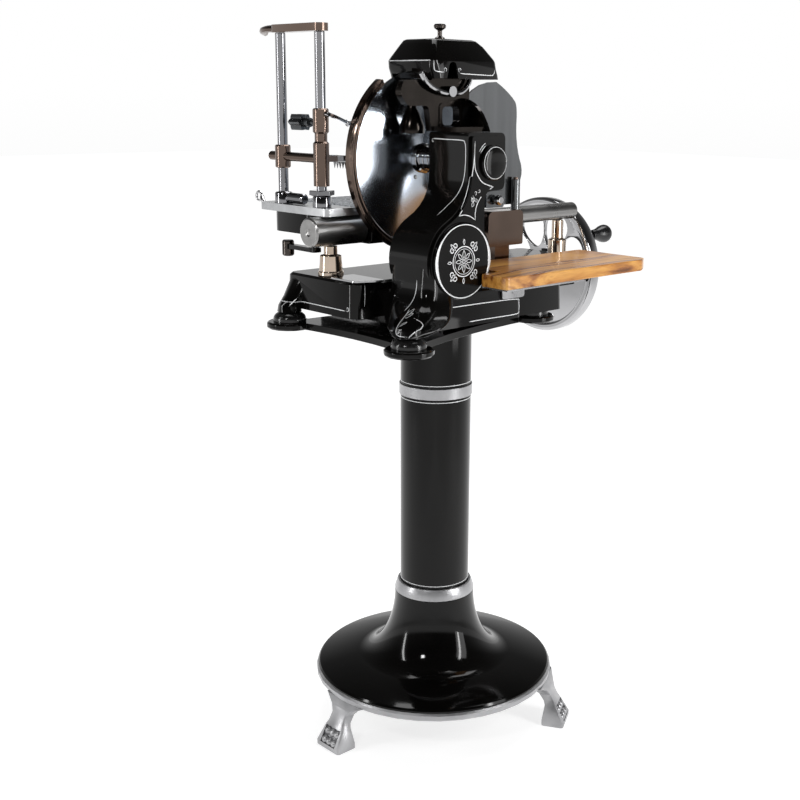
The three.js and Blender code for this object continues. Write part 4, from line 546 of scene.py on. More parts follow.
def keep(name, mesh, material, body, stands_for=(), soft=0.0):
    """Names a new piece, gives it its finish and lets it ride on its body."""
    obj = bpy.data.objects.new(name, mesh)
    bpy.context.scene.collection.objects.link(obj)
    mesh.materials.clear()
    mesh.materials.append(material)
    mesh.polygons.foreach_set("use_smooth", [True] * len(mesh.polygons))
    if soft:
        softened(obj, soft)
    else:
        mesh.set_sharp_from_angle(angle=SHARP)
    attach(obj, body)
    if stands_for:
        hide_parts(*stands_for)
    return obj


def keep_for(node, mesh, material, soft=0.0, name=None):
    """Keeps a finer piece in place of a solid, on its body and with its finish."""
    name = name or node + "_fine"
    return keep(name, mesh, material, body_of_node[node], [node], soft)


# %% [markdown]
# ### Turning on a lathe
# A profile is a list of radius and place along the axis. Blender's Screw modifier could revolve it, but
# building the rings directly also takes a part turn with closed ends, which the blade's guard needs.

# %% Lathe
def lathe(axis, centre, profile, sides=96, arc=None):
    """Revolves [radius, place] points about an axis. Radii and places are in millimetres."""
    along, first, second = AXES[axis]
    start, end = (0.0, TURN) if arc is None else (math.radians(angle) for angle in arc)
    closed = profile[0] == profile[-1]
    points = profile[:-1] if closed else profile
    columns = sides if arc is None else sides + 1
    made = bmesh.new()
    rings = []
    for radius, place in points:
        base = centre + along * place * MM
        if radius == 0:
            rings.append([made.verts.new(base)] * columns)
            continue
        ring = []
        for i in range(columns):
            angle = start + (end - start) * i / sides
            out = first * math.cos(angle) + second * math.sin(angle)
            ring.append(made.verts.new(base + out * radius * MM))
        rings.append(ring)
    pairs = list(zip(rings, rings[1:]))
    if closed:
        pairs.append((rings[-1], rings[0]))
    for low, high in pairs:
        for i in range(sides):
            j = (i + 1) % columns
            corners = [low[i], low[j], high[j], high[i]]
            unique = list(dict.fromkeys(corners))
            if len(unique) > 2:
                made.faces.new(unique)
    if arc is not None:
        made.faces.new([ring[0] for ring in rings])
        made.faces.new([ring[-1] for ring in rings])
    bmesh.ops.recalc_face_normals(made, faces=made.faces)
    mesh = bpy.data.meshes.new("lathe")
    made.to_mesh(mesh)
    made.free()
    return mesh


def quarter(steps):
    """Cosine and sine over a quarter turn, for domes."""
    return [(math.cos(i / steps * TURN / 4), math.sin(i / steps * TURN / 4)) for i in range(steps + 1)]


print("lathe ready")

# %% [markdown]
# ### Flat parts from an outline
# A closed curve that is filled and extruded takes openings as further outlines, and its bevel rounds the
# edges. It is turned into a mesh at once, because a piece has to be a mesh.

# %% Filled outlines
def arc_points(centre, radius, start, end, steps=12):
    """Points on an arc, with angles in degrees."""
    points = []
    for i in range(steps + 1):
        angle = math.radians(start + (end - start) * i / steps)
        points.append((centre[0] + radius * math.cos(angle), centre[1] + radius * math.sin(angle)))
    return points


def rounded(corners, steps=6):
    """Turns [x, y, corner radius] points into an outline with round corners."""
    outline = []
    for i, (x, y, radius) in enumerate(corners):
        here = Vector((x, y))
        if radius == 0:
            outline.append((x, y))
            continue
        before = (Vector(corners[i - 1][:2]) - here).normalized() * radius + here
        after = (Vector(corners[(i + 1) % len(corners)][:2]) - here).normalized() * radius + here
        for step in range(steps + 1):
            t = step / steps
            outline.append(tuple(before.lerp(here, t).lerp(here.lerp(after, t), t)))
    return outline


def mesh_of(curve_object):
    """Turns a curve object into a mesh and removes the curve."""
    bpy.context.view_layer.update()
    depsgraph = bpy.context.evaluated_depsgraph_get()
    mesh = bpy.data.meshes.new_from_object(curve_object.evaluated_get(depsgraph))
    mesh.transform(curve_object.matrix_world)
    bpy.data.objects.remove(curve_object)
    return mesh


def slab(axis, outlines, start, end, edge=1.0):
    """Gives outlines a thickness along an axis and rounds the edges. Later outlines are holes."""
    along, first, second = AXES[axis]
    if axis == "y":
        first, second = second, first
    curve = bpy.data.curves.new("slab", "CURVE")
    curve.dimensions = "2D"
    curve.fill_mode = "BOTH"
    curve.extrude = (end - start) / 2 * MM - edge * MM
    curve.bevel_depth = edge * MM
    curve.bevel_resolution = 2
    curve.offset = -edge * MM
    for outline in outlines:
        spline = curve.splines.new("POLY")
        spline.points.add(len(outline) - 1)
        spline.use_cyclic_u = True
        for point, (a, b) in zip(spline.points, outline):
            point.co = (a * MM, b * MM, 0, 1)
    obj = bpy.data.objects.new("slab", curve)
    bpy.context.scene.collection.objects.link(obj)
    normal = first.cross(second)
    centre = Vector((column_axis.x, column_axis.y, 0)) + along * (start + end) / 2 * MM
    obj.matrix_world = Matrix.Translation(centre) @ Matrix((first, second, normal)).transposed().to_4x4()
    mesh = mesh_of(obj)
    weld(mesh)
    return mesh


def weld(mesh, distance=0.00001):
    made = bmesh.new()
    made.from_mesh(mesh)
    bmesh.ops.remove_doubles(made, verts=made.verts, dist=distance)
    bmesh.ops.recalc_face_normals(made, faces=made.faces)
    made.to_mesh(mesh)
    made.free()


def joined(*meshes):
    """Puts several meshes into one."""
    made = bmesh.new()
    for mesh in meshes:
        made.from_mesh(mesh)
    mesh = bpy.data.meshes.new("joined")
    made.to_mesh(mesh)
    made.free()
    return mesh


print("shape helpers ready")

# %% [markdown]
# ## Dressing a solid that keeps its shape
# A casting's solid is already right, but its edges are knife sharp. A short stack of modifiers cleans it:
# a geometry node step merges its corners and turns smooth shading on, a decimate step joins the flat
# triangles again, and a bevel rounds every edge as a casting's draft and enamel would.

# %% Cleaning a solid's surface
def cleaning_steps():
    group = bpy.data.node_groups.new("clean_surface", "GeometryNodeTree")
    group.interface.new_socket("Geometry", in_out="INPUT", socket_type="NodeSocketGeometry")
    group.interface.new_socket("Geometry", in_out="OUTPUT", socket_type="NodeSocketGeometry")
    kinds = ("NodeGroupInput", "GeometryNodeRemoveAttribute", "GeometryNodeMergeByDistance",
             "GeometryNodeSetShadeSmooth", "NodeGroupOutput")
    steps = [group.nodes.new(kind) for kind in kinds]
    start, bare, merge, smooth, end = steps
    bare.inputs["Name"].default_value = "custom_normal"
    merge.inputs["Distance"].default_value = 0.00002
    group.links.new(start.outputs["Geometry"], bare.inputs["Geometry"])
    group.links.new(bare.outputs["Geometry"], merge.inputs["Geometry"])
    group.links.new(merge.outputs["Geometry"], smooth.inputs["Geometry"])
    group.links.new(smooth.outputs["Geometry"], end.inputs["Geometry"])
    return group


clean_surface = cleaning_steps()
FLAT = math.radians(1.0)


def dress(node, material, soft=0.8, segments=3):
    """Keeps a solid's shape, softens its edges and gives it a finish."""
    obj = nodes[node]
    clean = obj.modifiers.new("clean", "NODES")
    clean.node_group = clean_surface
    flat = obj.modifiers.new("flat_faces", "DECIMATE")
    flat.decimate_type = "DISSOLVE"
    flat.angle_limit = FLAT
    if soft:
        softened(obj, soft, segments)
    obj.data.materials.clear()
    obj.data.materials.append(material)
    return obj


print("cleaning steps ready")

# %% [markdown]
# ## Pedestal
# The pedestal is one black trumpet that spreads into a wide disc. It is turned in one piece, hollow
# underneath, and sits in a silver ring that carries three claw feet.

# %% Trumpet, column and bands
def trumpet():
    """The disc, the flare that rises to the neck, and the hollow below, as one profile."""
    low, high = span("pedestal_base")
    disc = radius_of("pedestal_base", "z")
    neck = radius_of("column_collar", "z")
    disc_edge, edge_drop, disc_top, flare_foot, wall = 8, 5, 104, 116, 8
    flare_radius = disc * 0.67
    steps = 28
    profile = []
    for i in range(steps + 1):
        angle = i / steps * TURN / 4
        radius = neck + (flare_radius - neck) * (1 - math.cos(angle))
        profile.append((radius, flare_foot + (high.z - flare_foot) * (1 - math.sin(angle))))
    profile += [(disc - disc_edge, disc_top), (disc - 3, disc_top - 1.5)]
    profile += [(disc, disc_top - edge_drop), (disc, low.z)]
    under_neck = high.z - 20
    inner = [(radius - wall, height - wall) for radius, height in profile[steps::-3] if height < under_neck]
    bore = radius_of("column", "z") + 1
    profile += [(disc - wall, low.z), (disc - wall * 2, disc_top - wall), *inner]
    profile += [(bore, inner[-1][1]), (bore, high.z)]
    return lathe("z", at(0, 0, 0), profile + [profile[0]], 160)


keep_for("pedestal_base", trumpet(), enamel)


def plain_turned(node, axis, soft, material, sides=96, bore=None):
    """Turns a plain cylinder or tube again, as smooth as it should be."""
    low, high = span(node)
    index = "xyz".index(axis)
    radius = radius_of(node, axis)
    centre = middle(node)
    centre[index] = 0
    start, end = low[index], high[index]
    if bore is None:
        profile = [(0, start), (radius, start), (radius, end), (0, end)]
    else:
        profile = [(bore, start), (radius, start), (radius, end), (bore, end), (bore, start)]
    return keep_for(node, lathe(axis, at(*centre), profile, sides), material, soft)


column_radius = radius_of("column", "z")
plain_turned("column", "z", 1.0, enamel, 128)
plain_turned("column_band", "z", 0.6, silver, 128, column_radius + 0.2)


def collar():
    """A ring with a straight foot, drawn in towards its top."""
    low, high = span("column_collar")
    outer, bore, shoulder = radius_of("column_collar", "z"), column_radius + 0.2, 4
    top_radius = outer - 6
    profile = [(bore, low.z), (outer, low.z), (outer, low.z + shoulder),
               (top_radius + 2, high.z - shoulder), (top_radius, high.z), (bore, high.z), (bore, low.z)]
    return lathe("z", at(0, 0, 0), profile, 128)


keep_for("column_collar", collar(), silver, 1.0)
print("pedestal turned")

# %% [markdown]
# ### Claw feet
# The ring and its three feet are one rough casting under silver paint, so their solid is kept and only
# softened. The knuckles are balls, and facets show on a ball first, so they are turned on the lathe.

# %% Claw foot ring
dress("claw_foot_ring", silver, 1.5)

FEET = (270, 30, 150)
TOE, BROW = Vector((268, 9)), Vector((252, 38))
knuckle_radius, knuckle_depth = 8.0, 5.5
knuckle_rows, knuckle_places = (0.22, 0.72), (-12.5, 0, 12.5)


def knuckles():
    """Smooth balls over the two rows of knuckles in each foot's sloping front."""
    slope = BROW - TOE
    out = Vector((slope.y, -slope.x)).normalized()
    half_circle = arc_points((0, 0), knuckle_radius, -90, 90, 16)[1:-1]
    ball = [(0, -knuckle_radius), *half_circle, (0, knuckle_radius)]
    balls = []
    for foot in FEET:
        turn = Matrix.Rotation(math.radians(foot), 4, "Z")
        for share in knuckle_rows:
            reach, height = TOE + slope * share - out * knuckle_depth
            for across in knuckle_places:
                place = turn @ Vector((reach, across, height))
                balls.append(lathe("z", at(*place), ball, 24))
    return joined(*balls)


keep("claw_knuckles", knuckles(), silver, "stand")
print("claw feet dressed")

# %% [markdown]
# ## Machine base
# The casting stands on four round pads. It is dressed with a wider bevel than the machined parts,
# because iron castings have soft corners under their enamel.

# %% Base, plate and gear column
dress("mounting_plate", enamel, 2.0)
dress("base_casting", enamel, 3.0)
dress("gear_column", enamel, 2.0)
print("base dressed")

# %% [markdown]
# ### Front leg
# The right front leg grows out of the gear column in one sweep. A stack of rounded rings is joined into a
# skin, from inside the drum down to the pad, and a subdivision makes the sweep smooth. Each ring is a
# height, low and high X, low and high Y, and its corner's radius.

# %% Front leg
skirt_rings = [
    (925, 60, 154, -160, -110, 16), (905, 58, 155.5, -163.5, -104, 18), (880, 56, 156.4, -164.5, -100, 20),
    (860, 54, 157, -165.5, -100, 22), (845, 55, 160, -170, -100, 24), (832, 60, 166, -181, -104, 26),
    (820, 74, 177, -201, -116, 28), (811, 100, 192, -226, -134, 28), (804, 138, 208, -249, -164, 30),
    (799, 160, 213, -260, -204, 26), (796.6, 163, 213, -261, -211, 24),
]


def skirt():
    """A skin over the stack of rounded rings, closed at both ends."""
    made = bmesh.new()
    rings = []
    for height, low_x, high_x, low_y, high_y, corner in skirt_rings:
        places = [(low_x, low_y), (high_x, low_y), (high_x, high_y), (low_x, high_y)]
        corners = [(x, y, corner) for x, y in places]
        rings.append([made.verts.new(at(x, y, height)) for x, y in rounded(corners, 8)])
    for above, below in zip(rings, rings[1:]):
        for i in range(len(above)):
            j = (i + 1) % len(above)
            made.faces.new([above[i], above[j], below[j], below[i]])
    made.faces.new(rings[0])
    made.faces.new(rings[-1])
    bmesh.ops.recalc_face_normals(made, faces=made.faces)
    mesh = bpy.data.meshes.new("skirt")
    made.to_mesh(mesh)
    made.free()
    return mesh


leg_skirt = keep("front_leg_skirt", skirt(), enamel, "stand")
smoother = leg_skirt.modifiers.new("smoother", "SUBSURF")
smoother.levels = smoother.render_levels = 2
print("front leg rings", len(skirt_rings))

# %% [markdown]
# ### Foot pads
# Each of the four feet stands in a round black pad with a domed top. The pads are found by their names,
# so the same few lines make all four.

# %% Foot pads
def pad(node):
    """A round pad: a short wall with a flat topped dome on it."""
    low, high = span(node)
    centre = middle(node)
    radius, crown, foot = radius_of(node, "z"), 12, 4
    base, rise = low.z + foot, high.z - low.z - foot
    dome = [(crown + (radius - crown) * out, base + rise * up) for out, up in quarter(12)]
    return lathe("z", at(centre.x, centre.y, 0), [(0, low.z), (radius, low.z), *dome, (0, high.z)], 64)


for node in sorted(nodes):
    if node.startswith("foot_pad"):
        keep_for(node, pad(node), pad_black)
print("pads", sum(node.startswith("foot_pad") for node in nodes))

# %% [markdown]
# ## Blade
# The blade is a thin dished disc. Its face is flat in the middle, slopes to the ground bevel and ends in
# a fine edge, and it is polished while it turns, so the finish runs in rings.

# %% Blade and guard
blade_centre = middle("blade")
blade_radius = radius_of("blade", "x")


def blade_disc():
    """A face that is flat in the middle and falls to the edge, and a back that is hollow."""
    bore, flat, ground = 8.5, 42, 6
    front, back = -19, -28
    face = [(bore, front), (flat, front), (flat + 6, -19.4), (blade_radius - ground, -27.4)]
    edge = [(blade_radius, -28.2), (blade_radius, -28.6)]
    rear = [(118, -30.5), (40, back), (bore, back), (bore, front)]
    return lathe("x", at(0, blade_centre.y, blade_centre.z), face + edge + rear, 192)


keep_for("blade", blade_disc(), blade_steel_painted_blue_reflection)


def hub():
    """The blade's sleeve, with grooves along its neck and a collar at its end."""
    low, high = span("blade_hub")
    wide, narrow, bore = radius_of("blade_hub", "x"), 21, 10.3
    groove, half, groove_places = 2.5, 1.2, (6, 18, 30)
    flange_end, collar_start, collar_groove = -8, 35, 45.5
    profile = [(bore, low.x), (wide, low.x), (wide, flange_end), (narrow, flange_end + 2)]
    for place in groove_places:
        profile += [(narrow, place - half), (narrow - groove, place), (narrow, place + half)]
    profile += [(narrow, collar_start - 2), (wide, collar_start), (wide, collar_groove - 1.5)]
    profile += [(wide - groove, collar_groove), (wide, collar_groove + 1.5), (wide, high.x), (bore, high.x)]
    return lathe("x", at(0, blade_centre.y, blade_centre.z), profile + profile[:1], 96)


keep_for("blade_hub", hub(), chrome, 0.8)
dress("blade_shaft", steel, 0.5)
screw_place = {"y": -35.5, "z": 1028.6, "radius": 3.4, "height": 2.6}


def blade_screw():
    """A cheese headed screw with a domed top, on the blade's face."""
    radius, start = screw_place["radius"], -19.5
    end = start + screw_place["height"]
    profile = [(0, start), (radius, start), (radius, end - 0.9), (radius * 0.75, end - 0.2), (0, end)]
    return lathe("x", at(0, screw_place["y"], screw_place["z"]), profile, 32)


keep("blade_screw", blade_screw(), chrome, body_of_node["blade"])


guard_arc = (126, 276)
post_reach, post_top = (-36, -16), 902


def guard():
    """The C shaped guard: a turned ring with raised lips, cut off where the sharpener works."""
    low, high = span("blade_guard_ring")
    inner, outer, groove = blade_radius + 3.6, blade_radius + 16, 1.2
    back, front = low.x + 0.1, high.x
    outside = [(inner, back), (outer - 2, back), (outer, back + 2), (outer, front - 6),
               (outer - groove, front - 5), (outer - groove, front - 3), (outer, front - 2),
               (outer - 1.5, front), (outer - 4, front)]
    inside = [(outer - 5, front - 1.5), (inner + 5, front - 1.5), (inner + 4, front), (inner + 3, front),
              (inner, front - 3), (inner, back)]
    ring = lathe("x", at(0, blade_centre.y, blade_centre.z), outside + inside, 128, guard_arc)
    foot = span("deflector_block")[0].z
    near, far = post_reach
    post = slab("x", [[(near, foot), (far, foot), (far, post_top), (near, post_top)]], back, front, 1.0)
    return joined(ring, post)


keep_for("blade_guard_ring", guard(), chrome_painted_brown_reflection, 0.5)
print("blade turned")

# %% [markdown]
# ## Covers on the gear column
# Two round covers close the casting: a wide black one over the lower sprocket, and a small one with a
# bright cap over the end of the blade's shaft.

# %% Round covers
def cover(node, dome, rim):
    """A round cover: a spigot behind it, and a shallow dome inside a narrow rim."""
    low, high = span(node)
    centre = middle(node)
    radius = radius_of(node, "x")
    face = span("gear_column")[1].x + 0.3
    front = high.x - dome
    arch = [(radius * 0.9 * out, front + dome * up) for out, up in quarter(8)]
    spigot = 15
    edge = [(0, low.x), (spigot, low.x), (spigot, face), (radius, face),
            (radius, front - rim), (radius - rim, front)]
    return lathe("x", at(0, centre.y, centre.z), edge + arch[1:-1] + [(0, high.x)], 128)


drum_cover = keep_for("drum_cover", cover("drum_cover", 0.5, 3), enamel, 0.6)
shaft_cover = keep_for("shaft_cover", cover("shaft_cover", 3.5, 2), enamel, 0.6)


def bright_cap():
    """The polished cap in the middle of the small cover, with a rolled edge."""
    high = span("shaft_cover")[1]
    radius, roll, rise, foot = 23, 1.8, 5, high.x - 6
    dome = [(radius * 0.88 * out, high.x - rise + rise * up) for out, up in quarter(10)[:-1]]
    edge = arc_points((radius - roll, foot + 1.6), roll, 0, 120, 4)
    profile = [(0, foot), (radius, foot), *edge, *dome, (0, high.x)]
    centre = middle("shaft_cover")
    return lathe("x", at(0, centre.y, centre.z), profile, 128)


keep("shaft_cover_cap", bright_cap(), aluminium, body_of_node["shaft_cover"])
print("covers turned")

# %% [markdown]
# ## Flywheel and crank
# The wheel is one casting, turned and plated. Its web is solid below, as a balance for the crank, and
# has four openings above. The crank's grip is turned too, and swells towards its end.

# %% Flywheel
wheel_at = middle("flywheel_shaft")
wheel_rim, wheel_hub = radius_of("flywheel", "y"), 25
wheel_front, wheel_back = span("flywheel")[0].y, span("flywheel")[1].y
rim_front, rim_back, rim_depth = wheel_front + 4, wheel_back - 5, 17
opening_angles = (22.5, 67.5, 112.5, 157.5)


def egg(angle, steps=14):
    """An egg shaped opening, with its narrow end towards the hub, turned to an angle above the right."""
    reach = wheel_rim - rim_depth - wheel_hub
    outline = []
    for i in range(steps * 2):
        turn = TURN * i / (steps * 2)
        out = wheel_hub + reach * (0.53 - 0.37 * math.cos(turn))
        across = reach * 0.3 * math.sin(turn) * (1 - 0.28 * math.cos(turn))
        tilt = math.radians(angle)
        outline.append((wheel_at.x + out * math.cos(tilt) - across * math.sin(tilt),
                        wheel_at.z + out * math.sin(tilt) + across * math.cos(tilt)))
    return outline


def flywheel():
    """A turned rim and hub, with a web between them that has four openings above its middle."""
    inner, half_web = wheel_rim - rim_depth, 5
    place = at(wheel_at.x, 0, wheel_at.z)
    face = [(inner, rim_front + 4), (inner + 1.5, rim_front + 1.5), (inner + 4, rim_front),
            (wheel_rim - 5, rim_front), (wheel_rim - 1.5, rim_front + 1.5), (wheel_rim, rim_front + 5)]
    back_face = [(radius, rim_front + rim_back - y) for radius, y in reversed(face)]
    rim = lathe("y", place, face + back_face + face[:1], 160)
    web_y = (rim_front + rim_back) / 2
    disc = arc_points((wheel_at.x, wheel_at.z), inner + 3, 0, 360, 120)[:-1]
    openings = [egg(angle) for angle in opening_angles]
    web = slab("y", [disc] + openings, web_y - half_web, web_y + half_web, 1.5)
    boss = lathe("y", place, [
        (9, wheel_front), (wheel_hub - 2, wheel_front), (wheel_hub, wheel_front + 2),
        (wheel_hub, wheel_back - 2), (wheel_hub - 2, wheel_back), (9, wheel_back), (9, wheel_front)], 96)
    return joined(rim, web, boss)


keep_for("flywheel", flywheel(), chrome)
dress("flywheel_nut", chrome, 0.8)
plain_turned("flywheel_shaft", "y", 1.0, steel, 64)
dress("flywheel_bearing", bronze, 0.5)
dress("crank_pin", chrome, 0.5)


def grip():
    """The grip's swelling outline, as shares of its length and radius, around the pin's bore."""
    low, high = span("crank_grip")
    centre = middle("crank_grip")
    radius = radius_of("crank_grip", "y")
    length = high.y - low.y
    bore = 4.3
    stations = [(0.0, 0.5), (0.04, 0.54), (0.18, 0.58), (0.3, 0.66), (0.42, 0.78), (0.54, 0.9),
                (0.66, 0.98), (0.74, 1.0), (0.82, 0.96), (0.9, 0.84), (0.96, 0.66), (1.0, 0.45)]
    swell = [(radius * fullness, low.y + length * share) for share, fullness in stations]
    profile = [(bore, low.y), *swell, (bore, high.y), (bore, low.y)]
    return lathe("y", at(centre.x, 0, centre.z), profile, 96)


keep_for("crank_grip", grip(), grip_black)
print("flywheel dressed")

# %% [markdown]
# ## Rail, carriage and table
# The rail is a ground bar with a thick end, on two posts. The carriage on it carries the table, with
# two rods on which the press slides.

# %% Rail and posts
def rail():
    """A bar with a thicker head at its front, and a turner's centre hole in the head's end."""
    low, high = span("guide_rail")
    centre = middle("guide_rail")
    fat, thin, fat_end, edge = radius_of("guide_rail", "y"), 17, -125, 3
    centre_hole = [(0, low.y + 3), (5, low.y + 2), (7, low.y)]
    head = [(fat - edge, low.y), (fat, low.y + edge), (fat, fat_end - edge), (fat - edge, fat_end)]
    bar = [(thin, fat_end), (thin, high.y - edge), (thin - edge, high.y), (0, high.y)]
    return lathe("y", at(centre.x, 0, centre.z), centre_hole + head + bar, 128)


keep_for("guide_rail", rail(), rail_steel, 0.6)
for node in ("rail_post_front", "rail_post_rear"):
    dress(node, chrome_painted_warm_reflection, 1.0)
dress("drip_plate", chrome, 0.5)
dress("carriage_bearing", enamel, 1.5)
dress("carriage_frame", enamel, 1.5)
dress("meat_table", aluminium, 0.5)

# %% [markdown]
# ### Holder rods
# Each rod stands in a turned foot. The left foot carries a knob that lies on its side, and the right one
# a six sided nut, which a lathe with only six sides makes.

# %% Holder rods
knob_reach, knob_height = 62, 10


def holder_rod(node, x):
    """A polished rod that stands in a turned foot."""
    low, high = span(node)
    radius, foot, foot_height, edge = 9, 16, 20, 3
    top = low.z + foot_height
    stand = [(0, low.z), (foot, low.z), (foot, top - edge),
             (foot - 1, top - edge + 1.6), (foot - edge, top)]
    rod = [(radius + 1, top), (radius, top + 1), (radius, high.z - 1),
           (radius - 1, high.z), (0, high.z)]
    return lathe("z", at(x, middle(node).y, 0), stand + rod, 64)


def foot_knob(x, y, z):
    """The knob that lies beside the left rod's foot."""
    neck, grip_radius, end = 6, 9.5, x + knob_reach
    profile = [(0, x), (neck, x + 12), (neck, x + 18), (grip_radius, x + 20), (grip_radius, end - 3),
               (grip_radius - 2.5, end), (0, end)]
    return lathe("x", at(0, y, z), profile, 48)


def foot_nut(x, y, z):
    """The six sided nut above the right rod's foot."""
    bore, wide, low, high = 8, 22, 18, 28.8
    profile = [(bore, low), (13, low), (wide, 21), (wide, 28), (wide - 1, high), (bore, high), (bore, low)]
    return lathe("z", at(x, y, z), profile, 6)


left, right = "holder_rod_left", "holder_rod_right"
left_x, right_x = span(left)[1].x - knob_reach, middle(right).x
knob = foot_knob(left_x, middle(left).y, span(left)[0].z + knob_height)
nut = foot_nut(right_x, middle(right).y, span(right)[0].z)
keep_for(left, joined(holder_rod(left, left_x), knob), rod_chrome_painted_shade, 0.5)
keep_for(right, joined(holder_rod(right, right_x), nut), rod_chrome_painted_shade, 0.5)
for node in ("gripper", "clamp_lever"):
    dress(node, chrome, 0.6)
for node in ("holder_bar", "press_beam"):
    dress(node, chrome_painted_brown_reflection, 0.8)
dress("clamp_knob", dark_knob, 1.0)
dress("thickness_lever", enamel, 1.0)
dress("thickness_knob", dark_chrome, 0.6)
dress("table_lock", chrome, 0)
print("carriage dressed")

# %% [markdown]
# ## Slice side
# The deflector is a thin plate that guides each slice away from the blade onto the wooden board.
# These solids have the right shape already, so they only need soft edges and a finish.

# %% Deflector and board
dress("deflector_block", chrome_painted_brown_reflection, 1.0)
dress("slice_deflector", grey_steel, 0.5)
dress("deflector_knob", chrome, 0.5)
dress("serving_board", wood, 2.0)
dress("board_bracket", steel, 0.6)
print("slice side dressed")

# %% [markdown]
# ## Sharpener
# Two small wheels of grit lie against the blade's edge, under a black cover with a knob. The hidden gears
# are dressed as well, so that nothing is left bare when a casting is taken away.

# %% Sharpener
dress("sharpener_bracket", chrome_painted_shade_plate, 0.8)
dress("sharpener_lever", chrome, 0.4)
dress("grinding_wheel", grit, 0.4)
dress("honing_wheel", grit, 0.4)
dress("sharpener_cover", enamel, 5.0)
dress("cover_knob", dark_chrome, 0.5)
hidden_drive = ("bevel_gear", "cross_shaft", "spur_pinion", "drum_gear", "drum_shaft",
                "lower_sprocket", "upper_sprocket", "drive_chain")
for node in hidden_drive:
    dress(node, steel, 0.2)
print("sharpener and gears dressed")

# %% [markdown]
# ## Pinstripes
# The castings are lined by hand in silver white enamel. A lining brush leaves a flat ribbon that stands a
# hair proud and thins out where the stroke ends. A texture would need a flat layout of each casting, so
# each stroke is drawn as a line in front of the casting instead, dropped onto it with rays, and given a
# thin closed section.

# %% Lines that a brush follows
def curved(points, steps=6):
    """A smooth line through points on a flat view."""
    ends = [points[0], *points, points[-1]]
    line = []
    for corners in zip(ends, ends[1:], ends[2:], ends[3:]):
        before, start, end, after = (Vector(corner) for corner in corners)
        for i in range(steps):
            t = i / steps
            bend = before * 2 - start * 5 + end * 4 - after
            twist = start * 3 - before - end * 3 + after
            line.append((start * 2 + (end - before) * t + bend * t ** 2 + twist * t ** 3) / 2)
    return line + [Vector(points[-1])]


def ring_line(centre, radius, start=0, end=360, steps=72):
    return [Vector(point) for point in arc_points(centre, radius, start, end, steps)]


def curl(centre, size, heading, turns=1.1, hand=1, steps=16):
    """A small scroll that winds inwards, starting at a heading in degrees."""
    line = []
    for i in range(steps + 1):
        t = i / steps
        angle = math.radians(heading) + hand * turns * TURN * t
        line.append(Vector(centre) + Vector((math.cos(angle), math.sin(angle))) * size * (1 - 0.78 * t))
    return line


def leaf(centre, reach, heading, fullness=0.32, steps=14):
    """A pointed leaf from a centre outwards, from one distance to another."""
    near, far = reach
    out = Vector((math.cos(math.radians(heading)), math.sin(math.radians(heading))))
    across = Vector((-out.y, out.x))
    line = []
    for i in range(steps * 2):
        t = i / steps if i < steps else 2 - i / steps
        side = 1 if i < steps else -1
        swell = math.sin(math.pi * t) * (far - near) * fullness * side
        line.append(Vector(centre) + out * (near + (far - near) * t) + across * swell)
    return line


print("brush lines ready")

# %% [markdown]
# ### Laying a stroke on a casting
# A stroke starts as a flat line in front of the casting. Rays drop its points onto the surface, and a
# strip is built along the places they hit. The strip is a little sunk, so that no gap shows below it,
# and a little proud. Its crown is the share of the width that is flat on top. A stroke is drawn in one of
# two views: the slice side, seen along X, or the near end, seen along Y, which is away from the flywheel.

# %% Strokes laid on a surface
PAINT = {"sunk": 0.12, "proud": 0.16, "crown": 0.75, "taper": 7.0, "step": 3.0, "jump": 12.0}
BROAD, MEDIUM, FINE, HAIR = 1.7, 1.4, 1.2, 1.0
SLICE_SIDE, NEAR_END = ("x", 1), ("y", -1)
VIEWS = {"x": lambda a, b: at(0, a, b), "y": lambda a, b: at(a, 0, b)}


def surface_of(objects):
    """The finished surfaces, with their modifiers, as one tree that rays can be cast at."""
    bpy.context.view_layer.update()
    depsgraph = bpy.context.evaluated_depsgraph_get()
    made = bmesh.new()
    for obj in objects:
        mesh = bpy.data.meshes.new_from_object(obj.evaluated_get(depsgraph))
        made.from_mesh(mesh)
        bpy.data.meshes.remove(mesh)
    tree = BVHTree.FromBMesh(made)
    made.free()
    return tree


def spaced(line, closed):
    """Adds points so that no two are further apart than a step."""
    corners = [Vector(corner) for corner in line] + ([Vector(line[0])] if closed else [])
    dense = [corners[0]]
    for start, end in zip(corners, corners[1:]):
        count = max(1, math.ceil((end - start).length / PAINT["step"]))
        dense += [start.lerp(end, (i + 1) / count) for i in range(count)]
    return dense[:-1] if closed else dense


def ribbon(made, hits, width, closed):
    """A thin closed strip along places on a surface, with a tapered end where it is open."""
    count = len(hits)
    rings = []
    reach = sum((hits[i + 1][0] - hits[i][0]).length for i in range(count - 1)) / MM
    gone = 0.0
    for i, (place, normal) in enumerate(hits):
        after = hits[(i + 1) % count][0] if closed or i < count - 1 else place
        before = hits[i - 1][0] if closed or i else place
        gone += (place - hits[i - 1][0]).length / MM if i else 0
        across = normal.cross(after - before).normalized()
        half = (width(i / count) if callable(width) else width) / 2
        if not closed:
            half *= min(1.0, 0.2 + min(gone, reach - gone) / PAINT["taper"])
        section = [(-half, -PAINT["sunk"]), (-half * PAINT["crown"], PAINT["proud"]),
                   (half * PAINT["crown"], PAINT["proud"]), (half, -PAINT["sunk"])]
        rings.append([made.verts.new(place + (across * u + normal * v) * MM) for u, v in section])
    pairs = list(zip(rings, rings[1:])) + ([(rings[-1], rings[0])] if closed else [])
    for first, second in pairs:
        for i in range(4):
            j = (i + 1) % 4
            made.faces.new([first[i], first[j], second[j], second[i]])
    if not closed:
        made.faces.new(rings[0])
        made.faces.new(rings[-1])


